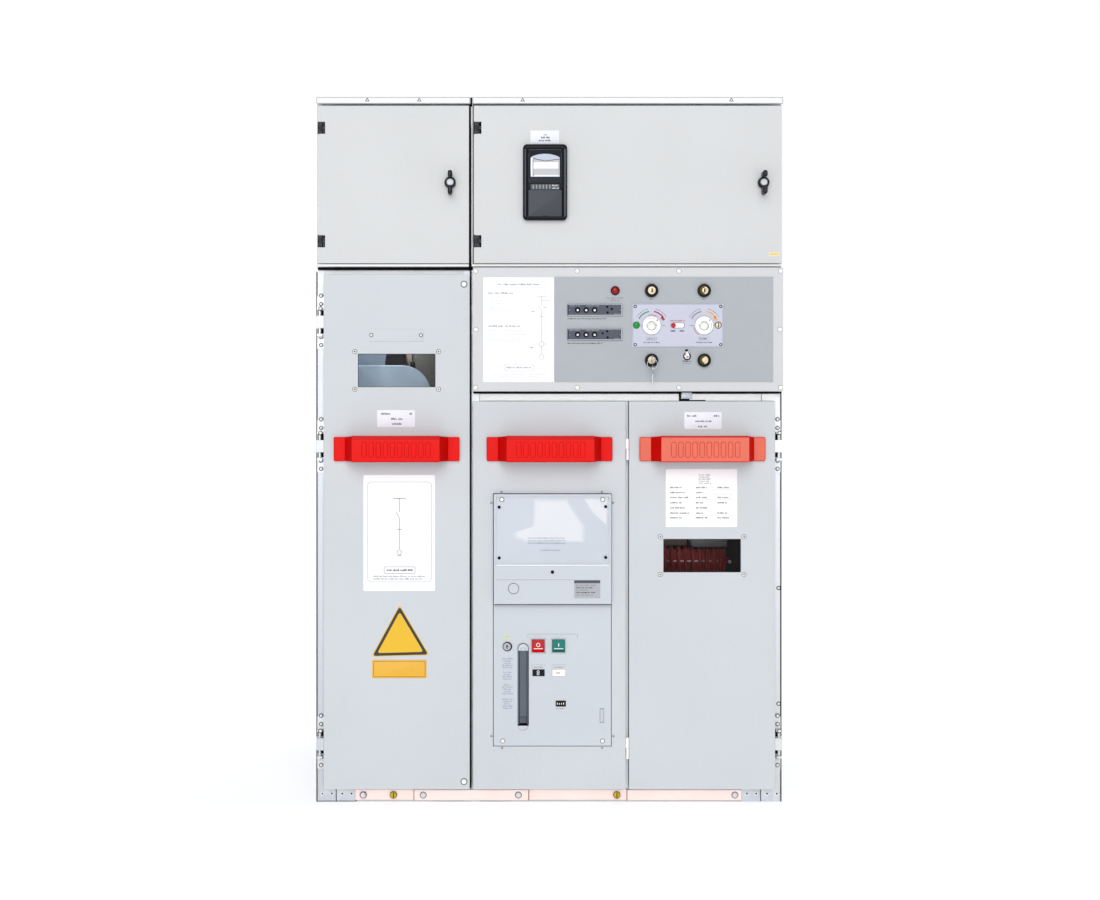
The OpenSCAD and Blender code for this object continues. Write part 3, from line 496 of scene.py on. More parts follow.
def curve(u: float, v: float, radius: float, start: float, end: float, steps: int) -> list[Point]:
    """Points along an arc about u and v, between two angles in degrees, anticlockwise."""
    angles = (math.radians(start + (end - start) * k / steps) for k in range(steps + 1))
    return [(u + radius * math.cos(a), v + radius * math.sin(a)) for a in angles]


def rounded(u0: float, v0: float, u1: float, v1: float, radius: float, steps: int = 4) -> list[Point]:
    """The outline of a rectangle with round corners, anticlockwise.

    Args:
        u0: left edge.
        v0: bottom edge.
        u1: right edge.
        v1: top edge.
        radius: of the corners.
        steps: segments in each corner.

    Returns:
        The outline's points.
    """
    r = min(radius, (u1 - u0) / 2 - 0.01, (v1 - v0) / 2 - 0.01)
    if r <= 0.02:
        return rect((u0, u1), (v0, v1))
    points = []
    right, left, low, high = u1 - r, u0 + r, v0 + r, v1 - r
    for cu, cv, start in ((right, low, -90), (right, high, 0), (left, high, 90), (left, low, 180)):
        points += curve(cu, cv, r, start, start + 90, steps)
    return points


def shrunk(points: list[Point], inset: float) -> list[Point]:
    """An anticlockwise outline moved inwards, with mitred corners.

    Args:
        points: the outline.
        inset: how far it moves.

    Returns:
        The smaller outline.
    """
    moved = []
    count = len(points)
    for k in range(count):
        before, here, after = (Vector(points[(k + d) % count]) for d in (-1, 0, 1))
        first, second = (here - before).normalized(), (after - here).normalized()
        normals = Vector((-first.y, first.x)), Vector((-second.y, second.x))
        middle = normals[0] + normals[1]
        reach = inset / max(0.35, 1 + normals[0].dot(normals[1])) if middle.length > 1e-6 else 0
        moved.append(tuple(here + middle * reach))
    return moved


def round_points(u: float, v: float, radius: float, steps: int = 24) -> list[Point]:
    """The points of a circle, anticlockwise."""
    turns = (2 * math.pi * k / steps for k in range(steps))
    return [(u + radius * math.cos(a), v + radius * math.sin(a)) for a in turns]


class Piece:
    """A mesh that is gathered from closed solids and then rides on a body. Its points are in
    millimetres: right, up and outwards on one side. Depths count from its surface, w."""

    def __init__(
        self, name: str, body: str = "cabinet", w: float = 0.0, side: Side = Side.FRONT
    ) -> None:
        """Starts an empty piece.

        Args:
            name: of the finished object.
            body: the body that it rides on.
            w: depth of the surface that it is put on.
            side: the side that it is built on.
        """
        self.w = w
        self.name = name
        self.body = body
        self.turn = side.turn()
        self.shift = Matrix.Identity(4)
        self.mesh = bmesh.new()
        self.finishes: list[Finish] = []

    def slot_of(self, finish: Finish) -> int:
        """The number of the material slot that holds this finish."""
        if finish not in self.finishes:
            self.finishes.append(finish)
        return self.finishes.index(finish)

    def loft(self, finish: Finish, rings: list[list[Place]], closed: bool = False) -> None:
        """Joins rings of points, one after the other, into a closed solid.

        Args:
            finish: of all its faces.
            rings: with as many points each.
            closed: whether the last ring joins the first.
        """
        slot = self.slot_of(finish)
        made = [[self.mesh.verts.new(self.shift @ Vector(p)) for p in ring] for ring in rings]
        count = len(made[0])
        pairs = list(zip(made, made[1:]))
        if closed:
            pairs.append((made[-1], made[0]))
        faces = []
        for low, high in pairs:
            for k in range(count):
                after = (k + 1) % count
                faces.append(self.mesh.faces.new((low[k], low[after], high[after], high[k])))
        if not closed:
            faces.append(self.mesh.faces.new(made[0][::-1]))
            faces.append(self.mesh.faces.new(made[-1]))
        for face in faces:
            face.material_index = slot
            face.smooth = True

    def prism(
        self, finish: Finish, points: list[Point], w0: float, w1: float, edge: float = 0.0, steps: int = 3
    ) -> None:
        """Stands an outline up from one depth to another, with its front edge rounded.

        Args:
            finish: of the solid.
            points: the outline, anticlockwise.
            w0: depth of the back.
            w1: depth of the front.
            edge: radius of the front edge.
            steps: segments in the front edge.
        """
        w0, w1 = self.w + w0, self.w + w1
        rings = [[(u, v, w0) for u, v in points]]
        if edge <= 0:
            rings.append([(u, v, w1) for u, v in points])
        else:
            for k in range(steps + 1):
                angle = math.pi / 2 * k / steps
                ring = shrunk(points, edge * (1 - math.cos(angle)))
                rings.append([(u, v, w1 - edge + edge * math.sin(angle)) for u, v in ring])
        self.loft(finish, rings)

    def plate(
        self, finish: Finish, u: Span, v: Span, w: Span, corner: float = 0.0, edge: float = 0.0
    ) -> None:
        """A rectangular plate, with the radius of its corners and of its front edge."""
        radius = max(corner, edge + 0.1 if edge else 0)
        self.prism(finish, rounded(u[0], v[0], u[1], v[1], radius), w[0], w[1], edge)

    def print(self, finish: Finish, u: Span, v: Span, corner: float = 0.0) -> None:
        """A printed or stuck-on patch, as thin as its film."""
        self.plate(finish, u, v, (0, PRINT), corner)

    def rim(self, finish: Finish, outline: list[Point], profile: list[Point]) -> None:
        """A closed frame along an outline; its profile is made of insets and depths."""
        rings = [[(u, v, self.w + w) for u, v in shrunk(outline, inset)] for inset, w in profile]
        self.loft(finish, [[ring[n] for ring in rings] for n in range(len(outline))], closed=True)

    def lathe(self, finish: Finish, u: float, v: float, profile: list[Point], steps: int = 24) -> None:
        """Turns a profile of radii and depths, back to front, about an axis that points out."""
        rings = []
        for radius, w in profile:
            ring = round_points(u, v, max(radius, THINNEST), steps)
            rings.append([(*point, self.w + w) for point in ring])
        self.loft(finish, rings)

    def rod(
        self, finish: Finish, start: Place, end: Place, radius: float, edge: float = 0.0, steps: int = 16
    ) -> None:
        """A round rod between two points, with chamfered ends.

        Args:
            finish: of the rod.
            start: middle of one end.
            end: middle of the other.
            radius: of the rod.
            edge: size of the chamfers.
            steps: segments around.
        """
        way = (Vector(end) - Vector(start)).normalized()
        across = way.cross(Vector((0, 0, 1)) if abs(way.z) < 0.9 else Vector((1, 0, 0))).normalized()
        other = way.cross(across)
        spots = [(Vector(start), radius - edge), (Vector(end), radius - edge)]
        if edge > 0:
            spots[1:1] = [(Vector(start) + way * edge, radius), (Vector(end) - way * edge, radius)]
        rings = []
        for middle, r in spots:
            turns = (2 * math.pi * k / steps for k in range(steps))
            rings.append([tuple(middle + across * r * math.cos(a) + other * r * math.sin(a)) for a in turns])
        self.loft(finish, rings)

    def sweep(
        self, finish: Finish, path: list[Place], section: list[Point], up: Place, closed: bool = False
    ) -> None:
        """Draws a section along a path.

        Args:
            finish: of the solid.
            path: the points that the section follows.
            section: along up, and across it.
            up: the direction that stays upright in the section.
            closed: whether the path is a loop.
        """
        points = [Vector(p) for p in path]
        upright = Vector(up)
        rings = []
        count = len(points)
        for k, here in enumerate(points):
            before = points[k - 1] if k or closed else here
            after = points[(k + 1) % count] if k < count - 1 or closed else here
            first = (here - before).normalized() if before != here else None
            second = (after - here).normalized() if after != here else None
            way = ((first or second) + (second or first)).normalized()
            across = way.cross(upright).normalized()
            flare = 1
            if first and second:
                flare = 1 / max(0.4, math.sqrt((1 + first.dot(second)) / 2))
            rings.append([tuple(here + upright * a + across * b * flare) for a, b in section])
        self.loft(finish, rings, closed)

    def line(self, finish: Finish, points: list[Point], width: float, closed: bool = False) -> None:
        """A printed line through points, which comes back to its start if it is closed."""
        half = width / 2
        section = [(0, -half), (0, half), (PRINT, half), (PRINT, -half)]
        self.sweep(finish, [(*point, self.w) for point in points], section, (0, 0, 1), closed)

    def arc(self, finish: Finish, u: float, v: float, radius: float, angles: Span, width: float) -> None:
        """A printed arc; its angles are in degrees, anticlockwise from the right."""
        count = max(4, int(abs(angles[1] - angles[0]) / 9))
        self.line(finish, curve(u, v, radius, *angles, count), width)

    def frame(self, finish: Finish, u: Span, v: Span, width: float, corner: float = 0.0) -> None:
        """A printed outline of a rectangle."""
        self.line(finish, rounded(u[0], v[0], u[1], v[1], corner), width, closed=True)

    def words(self, finish: Finish, u: Span, v: float, height: float, seed: int) -> None:
        """A row of small strokes that stands in for a printed line of text.

        Args:
            finish: its ink.
            u: left and right end of the row.
            v: the row's middle height.
            height: of the tall strokes.
            seed: gives each row its own rhythm.
        """
        pick = random.Random(seed * 7919 + int(abs(u[0]) * 10))
        pitch = height * 0.62
        left = u[0]
        letters = 0
        length = pick.randint(3, 8)
        while left + pitch * 0.7 <= u[1]:
            if letters == length:
                left += pitch * 0.8
                letters, length = 0, pick.randint(3, 8)
                continue
            tall = pick.random() < 0.35
            top = v + height * (0.5 if tall else 0.22)
            wide = pitch * pick.uniform(0.45, 0.8)
            self.print(finish, (left, left + wide), (v - height * 0.5, top))
            left += pitch
            letters += 1

    def finish(self, slot: str = "", replaces: tuple[str, ...] = (), sharp: float = 38.0) -> bpy.types.Object:
        """Turns the gathered solids into an object that rides on the piece's body.

        Args:
            slot: not used.
            replaces: CAD nodes that it stands for.
            sharp: the angle in degrees from which an edge stays hard.

        Returns:
            The object.
        """
        self.mesh.transform(Matrix.Scale(MM, 4) @ self.turn)
        bmesh.ops.recalc_face_normals(self.mesh, faces=self.mesh.faces)
        data = bpy.data.meshes.new(self.name)
        self.mesh.to_mesh(data)
        self.mesh.free()
        data.set_sharp_from_angle(angle=math.radians(sharp))
        for finish in self.finishes:
            data.materials.append(finish.material())
        made = bpy.data.objects.new(self.name, data)
        bpy.context.scene.collection.objects.link(made)
        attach(made, self.body)
        if replaces:
            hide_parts(*replaces)
        LOG.info("%s rides on %s with %d faces", self.name, self.body, len(data.polygons))
        return made


@dataclass(frozen=True)
class Screw:
    """A screw or bolt seen from its head: domed or hexagonal, on a washer or not."""

    radius: float
    height: float
    finish: Finish
    head: Head = Head.SOCKET
    washer: float = 0.0
    sides: int = 20
    # finish of the painted shade in the socket, slot or cross
    recess: Finish = field(default=BLACK_RUBBER_AND_SHADE)
    # width of the dark ring of painted shadow round the head
    gap: float = 0.0

    def put(self, piece: Piece, u: float, v: float, w: float = 0.0, turn: float = 25.0) -> None:
        """Puts the screw on a surface.

        Args:
            piece: the piece that it joins.
            u: its middle, across.
            v: its middle, upwards.
            w: how far it stands over the piece's surface.
            turn: of its slot or cross, in degrees.
        """
        r, h = self.radius, self.height
        base = w - 0.4
        # Painted shadow: a dark ring round the head where it meets the surface.
        if self.gap:
            ring = (self.washer or r) + self.gap
            piece.lathe(BLACK_RUBBER_AND_SHADE, u, v, [(ring, w - 0.3), (ring, w + 0.14), (ring - 0.2, w + 0.2)])
        if self.washer:
            rim = self.washer
            piece.lathe(self.finish, u, v, [(rim, base), (rim, w + 0.9), (rim - 0.5, w + 1.3)])
            w += 1.3
        if self.sides == 6:
            points = [(r, w - 0.6), (r, w + h * 0.8), (r * 0.9, w + h)]
            points += [(r * 0.55, w + h), (r * 0.5, w + h - 0.3)]
        else:
            points = [(r, base), (r, w + h * 0.25), (r * 0.93, w + h * 0.6)]
            points += [(r * 0.72, w + h * 0.88), (r * 0.45, w + h)]
        if self.head is Head.SOCKET:
            points[-1:] = [(r * 0.56, w + h * 0.96), (r * 0.52, w + h * 0.35)]
        piece.lathe(self.finish, u, v, points, self.sides)
        top = w + h
        # Painted shade: a dark plug fills the socket, and dark bars the slot or cross.
        if self.head is Head.SOCKET:
            piece.lathe(self.recess, u, v, [(r * 0.38, w + h * 0.3), (r * 0.36, w + h + 0.05)], 12)
        if self.head in (Head.SLOT, Head.CROSS):
            for angle in (turn,) if self.head is Head.SLOT else (turn, turn + 90):
                way = Vector((math.cos(math.radians(angle)), math.sin(math.radians(angle))))
                side = Vector((-way.y, way.x)) * r * 0.13
                reach = way * r * (0.8 if self.head is Head.SLOT else 0.5)
                near, far = Vector((u, v)) - reach, Vector((u, v)) + reach
                corners = (near - side, far - side, far + side, near + side)
                piece.prism(self.recess, [tuple(c) for c in corners], w + h * 0.55, top + 0.06)


WHITE_BOLT = Screw(5.4, 3.6, WHITE_PLASTIC, Head.PLAIN, sides=24, gap=0.5)
BIG_BOLT = Screw(6.4, 4.6, WHITE_PLASTIC, Head.PLAIN, sides=24, gap=1.7)
HINGE_SCREW = Screw(3.7, 2.8, LID_PAINT, Head.PLAIN, gap=1.6)
WINDOW_SCREW = Screw(4.8, 1.8, WHITE_PLASTIC, Head.SOCKET, gap=1)
COVER_SCREW = Screw(3.3, 1.8, LID_PAINT, Head.PLAIN, gap=1.4)
CASE_SCREW = Screw(4.6, 1.8, WHITE_PLASTIC, Head.PLAIN, gap=1.1)
PLATE_SCREW = Screw(2.4, 1.4, ZINC_SCREW, Head.SLOT, gap=1.5)
EARTH_SCREW = Screw(8, 2, PASSIVATED, Head.SLOT, gap=0.9)
HEX_BOLT = Screw(4.9, 3.2, ZINC_SCREW, Head.PLAIN, washer=6.7, sides=6, gap=1.6)


def dress(node: str, finish: Finish, bevel: float = 0.8, flats: bool = True) -> bpy.types.Object:
    """Gives a CAD node its finish, and its edges the small radius of folded or moulded ones.

    Args:
        node: the CAD node.
        finish: its finish.
        bevel: radius of its edges; 0 leaves them alone.
        flats: whether its flat faces are joined first; not where one runs round a wide opening.

    Returns:
        The node's object.
    """
    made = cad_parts[node]
    slots = made.data.materials
    if not slots:
        slots.append(None)
    for k in range(len(slots)):
        slots[k] = finish.material()
    if bevel:
        weld = made.modifiers.new("weld", "WELD")
        weld.merge_threshold = 1e-6
        if flats:
            joined = made.modifiers.new("flats", "DECIMATE")
            joined.decimate_type = "DISSOLVE"
            joined.angle_limit = math.radians(0.5)
        soft = made.modifiers.new("edges", "BEVEL")
        soft.width = bevel * MM
        soft.segments = 2
        soft.limit_method = "ANGLE"
        soft.angle_limit = math.radians(40)
        soft.use_clamp_overlap = True
        even = made.modifiers.new("normals", "WEIGHTED_NORMAL")
        even.keep_sharp = False
    LOG.info("%s is dressed in %s", node, finish.name)
    return made


# ---- sub-assemblies ----


@dataclass
class Cabinets:
    """The two sheet steel cabinets, with their base, roof, partition and hinge brackets."""

    screw_rises: tuple[float, ...] = (65, 44.6, -34.6, -54.5)
    recesses: tuple[Span, ...] = ((14.8, 29.4), (-26.5, -14.8))
    left_hinges: tuple[float, ...] = (143.5, 860, 1159)
    right_hinges: tuple[float, ...] = (143.5, 860)
    lid_clips: tuple[float, ...] = (-438, -313, -64, 438)
    lid_seam: Span = (-190.5, -184.5)

    def build(self) -> None:
        """Dresses the sheets and adds their fasteners."""
        dress("incomer_side_walls", SHADED_LEFT_ZINC, 0.7)
        dress("breaker_side_walls", RIGHT_ZINC, 0.7)
        for node in ("back_walls", "roof_plates", "shelves", "center_partition", "floor_plates"):
            dress(node, WALL_ZINC, 0.6)
        dress("panel_rail", RAIL_ZINC, 0.8)
        dress("base_frames", DARK_STEEL, 0.8)
        dress("seam_hinges", RAIL_ZINC, 0.8)
        dress("door_hinge_brackets", RIGHT_ZINC, 0.9)
        dress("interlock_tongue", RAIL_ZINC, 0.8, flats=False)
        self.hinge_details()
        self.interlock()
        self.seals()
        self.seam()
        self.lids_and_roof()

    def hinge_details(self) -> None:
        """Screws above and below each hinge of the outer doors, and painted shade in the recesses at its
        lugs.
        """
        bracket = Box.of("door_hinge_brackets")
        face = bracket.back + 3
        screws = Piece("hinge_bracket_screws")
        recesses = Piece("hinge_recesses")
        left, right = bracket.x0 + 10.2, bracket.x1 - 8.3
        for x, heights in ((left, self.left_hinges), (right, self.right_hinges)):
            for z in heights:
                for rise in self.screw_rises:
                    HINGE_SCREW.put(screws, x, z + rise, face)
                HINGE_SCREW.put(screws, x + 0.5, z + 32, bracket.front)
                # Painted shade: a dark plate over each recess.
                for low, high in self.recesses:
                    recesses.plate(BLACK_RUBBER_AND_SHADE, (x - 8.2, x + 6.4), (z + low, z + high), (face - 0.3, face + 0.5))
        for z in (517, 237):
            HINGE_SCREW.put(screws, right + 3, z, bracket.back)
        screws.finish("zinc")
        recesses.finish("zinc")

    def interlock(self) -> None:
        """The dark angle over the right door, with its grey latch block, and the rail's cover."""
        tongue = Box.of("interlock_tongue")
        piece = Piece("interlock_angle", w=tongue.back)
        x = tongue.x0 + 3
        for left, right, low, high, rise, edge in (
            (-3, 2.4, 969.5, 990.5, 10.5, 0.6),
            (-3, 22, 969.5, 974.4, 10.8, 0.6),
            (18, 61, 969.2, 971.6, 10.6, 0.4),
        ):
            piece.plate(BLACK_RUBBER_AND_SHADE, (x + left, x + right), (low, high), (-1, rise), edge=edge)
        piece.plate(PLATE_STEEL, (x + 3.4, x + 28), (975.2, 990), (4, 14), 1.5, 1)
        piece.finish("interlock_steel")
        rail = Box.of("panel_rail")
        cover = Piece("rail_cover", w=rail.front)
        for u in ((rail.x0, 512), (513.6, rail.x1)):
            cover.plate(RAIL_ZINC, u, (969.6, 986.5), (-1, 9), 0, 0.8)
        cover.finish("galvanised")

    def seals(self) -> None:
        """Black strips of painted shade in the gaps round the doors and the panel, the joints of the outer
        skin, and a line of painted shadow at the foot.
        """
        posts = Box.of("incomer_side_walls")
        face = posts.front
        door, panel = Box.of("incomer_door"), Box.of("operating_panel")
        left, right = Box.of("left_lv_door"), Box.of("right_lv_door")
        piece = Piece("door_gap_painted_shade", w=face)
        # Painted shade: black strips in the gaps beside the tall door, over it, under and over the panel, and
        # between the low voltage boxes and their lids.
        for u, v, w in (
            ((door.x1 + 0.6, door.x1 + 3.9), (door.z0, door.z1 + 14), 14),
            ((panel.x0 + 1, panel.x1 - 1), (panel.z0 - 4.6, panel.z0 - 0.6), 9),
            ((posts.x0 + 4, door.x1 + 3.9), (door.z1 + 13, door.z1 + 18.6), 9),
            ((panel.x0 + 1, panel.x1 - 1), (panel.z1 + 0.3, panel.z1 + 2.8), 12),
            ((left.x1 + 0.5, left.x1 + 5.2), (panel.z1 + 4, right.z1 + 6), 22),
            ((-190, -185), (right.z1 + 3, right.z1 + 20.5), 24),
        ):
            piece.plate(BLACK_RUBBER_AND_SHADE, u, v, (-1, w), edge=0.8)
        piece.finish("black_plastic")
        joints = Piece("skin_joints", w=face)
        edge = Box.of("breaker_side_walls").x1
        for x, heights in ((posts.x0 + 1.3, self.left_hinges), (edge - 1.3, self.right_hinges)):
            low = 1
            for z in (*heights, panel.z1 + 7):
                joints.plate(BLACK_RUBBER_AND_SHADE, (x - 1.2, x + 1.2), (low, z - 15), (-0.2, 3.5), edge=0.3)
                low = z + 15
        # Painted shadow: a dark line along the foot, where the cabinet stands on the floor.
        joints.plate(BLACK_RUBBER_AND_SHADE, (posts.x0 + 1, posts.x0 + 96), (0.6, 2.2), (-0.2, 0.5), edge=0.2)
        joints.finish("cabinet_sheet")
        lips = Piece("low_voltage_lips", w=face)
        for u in ((left.x0, left.x1), (right.x0 - 5, right.x1)):
            lips.plate(LID_PAINT, u, (left.z0 - 7.4, left.z0 - 2.2), (-1, left.front - face - 1), 0, 0.6)
        upright = (right.x0 - 6.2, right.x0 - 3)
        lips.plate(LID_PAINT, upright, (left.z0 - 2, left.z1), (-1, 17), 0, 0.6)
        lips.finish("lv_paint")

    def seam(self) -> None:
        """The post strip between the two lower doors, with a dark strip of painted shade on each side."""
        low, high = Box.of("breaker_door"), Box.of("cable_door")
        piece = Piece("seam_strip", w=Box.of("incomer_side_walls").front)
        piece.plate(LID_PAINT, (low.x1 + 1, high.x0 - 1.4), (low.z0 + 1, low.z1), (-1, 16), 0, 0.5)
        # Painted shade in the gaps on each side of the strip.
        for x in (low.x1 + 1.1, high.x0 - 1.1):
            piece.plate(BLACK_RUBBER_AND_SHADE, (x - 0.8, x + 0.8), (low.z0 + 1, low.z1), (-1, 5))
        piece.finish("cabinet_sheet")

    def lids_and_roof(self) -> None:
        """The clips at the front of the lids, a grey line of painted shade round their front edges, and the
        flush screws in the roof.
        """
        roof = Box.of("roof_plates")
        front = Box.of("lv_lids")
        piece = Piece("lid_clips", w=front.front)
        low, high = front.z1 - 10.5, front.z1 - 2.6
        for x in self.lid_clips:
            outline = [(x - 5.2, low), (x + 5.2, low), (x + 0.8, high), (x - 0.8, high)]
            piece.rim(BLACK_RUBBER_AND_SHADE, outline, [(0, -0.2), (0, 0.3), (1.3, 0.3), (1.3, -0.2)])
        # Painted shade: a grey line round each lid's front, along its folded edges.
        for u in ((front.x0, self.lid_seam[0]), (self.lid_seam[1], front.x1)):
            outline = rect(u, (front.z0, front.z1))
            piece.rim(GREY_PLASTIC, outline, [(0.4, -0.2), (0.4, 0.12), (1.7, 0.12), (1.7, -0.2)])
        piece.finish("black_plastic")
        screws = Piece("roof_screws", w=front.z1, side=Side.TOP)
        for x in (roof.x0 + 30, -220, -160, roof.x1 - 30):
            for y in (-100, 200, 510):
                screws.lathe(ZINC_SCREW, x, y, [(6.2, -1.5), (6.2, -0.25), (5.4, -0.02)], 20)
        screws.finish("zinc")


@dataclass
class EarthBar:
    """The copper earth bar along the foot of the front, bolted to the base's corner plates."""

    bolts: tuple[float, ...] = (-449, -304, -74, 449)
    studs: tuple[float, ...] = (-376, 164)
    splices: tuple[float, ...] = (-326, -49, 188.5)

    def build(self) -> None:
        """Dresses the bar and adds its corner plates, bolts and brass screws."""
        dress("earth_bar", COPPER, 0.7)
        bar = Box.of("earth_bar")
        piece = Piece("earth_bar_fixings", w=bar.front)
        for x in self.bolts:
            HEX_BOLT.put(piece, x, bar.z)
        for x in self.studs:
            EARTH_SCREW.put(piece, x, bar.z, turn=90)
        for x in self.splices:
            piece.plate(BLACK_RUBBER_AND_SHADE, (x - 0.7, x + 0.7), (bar.z0, bar.z1), (-0.3, 0.25))
        piece.finish("copper")
        plates = Piece("base_corner_plates", w=Box.of("base_frames").front)
        for start, end in ((-562, -515), (-514, -467), (465, 512), (513, 562)):
            plates.plate(PLATE_STEEL, (start, end), (1, 33.5), (-0.4, 2.2), 1.5, 0.8)
            width = end - start
            for x in (start + width * 0.3, start + width * 0.78):
                plates.lathe(LID_PAINT, x, 19.5, [(4.6, 1.9), (4.6, 2.4), (4.2, 2.6)])
                plates.lathe(INK, x, 19.5, [(2.4, 2.4), (2.4, 2.8)])
            if end < 560:
                plates.plate(BLACK_RUBBER_AND_SHADE, (end - 0.4, end + 1.4), (1.5, 33), (-0.4, 2.4))
        plates.finish("galvanised")


@dataclass
class WingKnob:
    """A black wing knob with a pale cap, on the shaft that turns the latch cam."""

    node: str
    name: str
    body: str
    cap_radius: float = 8.8
    wing_radius: float = 5.4
    wing_reach: float = 27.5

    def build(self) -> None:
        """Builds the knob, its shaft and the cam in place of the CAD node."""
        door = Box.of(self.node.replace("_knob", "_door"))
        box = Box.of(self.node)
        x, z = box.x, box.z1 - self.wing_reach
        face, top = door.front, box.front - door.front
        piece = Piece(self.name, self.body, face)
        disc = [(13.2, 0.3), (13.8, 1), (13.8, 9), (12.6, 12), (9.4, 12.4)]
        piece.lathe(BLACK, x, z, disc, 36)
        for low, high in ((z + 10, z + 26), (z - 30.5, z - 10)):
            outline = rounded(x - self.wing_radius, low, x + self.wing_radius, high, self.wing_radius, 6)
            piece.prism(BLACK, outline, 6, top - 1.2, 1.8)
            piece.prism(SOFT_BLACK, shrunk(outline, 2.6), top - 2.5, top - 0.7, 0.5)
        cap, radius = 14.5, self.cap_radius
        piece.lathe(GREY_PLASTIC, x, z, [(radius, 11), (radius, cap - 0.9), (radius - 0.9, cap)], 28)
        piece.lathe(PLATE_STEEL, x, z, [(radius - 1.6, cap - 1), (radius - 2, cap + 0.3)], 28)
        piece.lathe(STEEL_KEY, x, z, [(9, door.back - face - 23), (9, 1)], 24)
        piece.lathe(STEEL_KEY, x, z, [(12, -7), (12, -4.5), (11.4, -3.6)], 6)
        piece.w = box.back
        half = [(8, box.z0 + 1), (8, z + 3), (5, z + 8)]
        cam = [(x + a, b) for a, b in half] + [(x - a, b) for a, b in reversed(half)]
        piece.prism(ZINC_SCREW, cam[-1:] + cam[:-1], 0, 3, 0.5)
        Screw(6, 3, ZINC_SCREW, Head.PLAIN, sides=6).put(piece, x, z, 3)
        piece.finish("black_plastic", replaces=(self.node,))


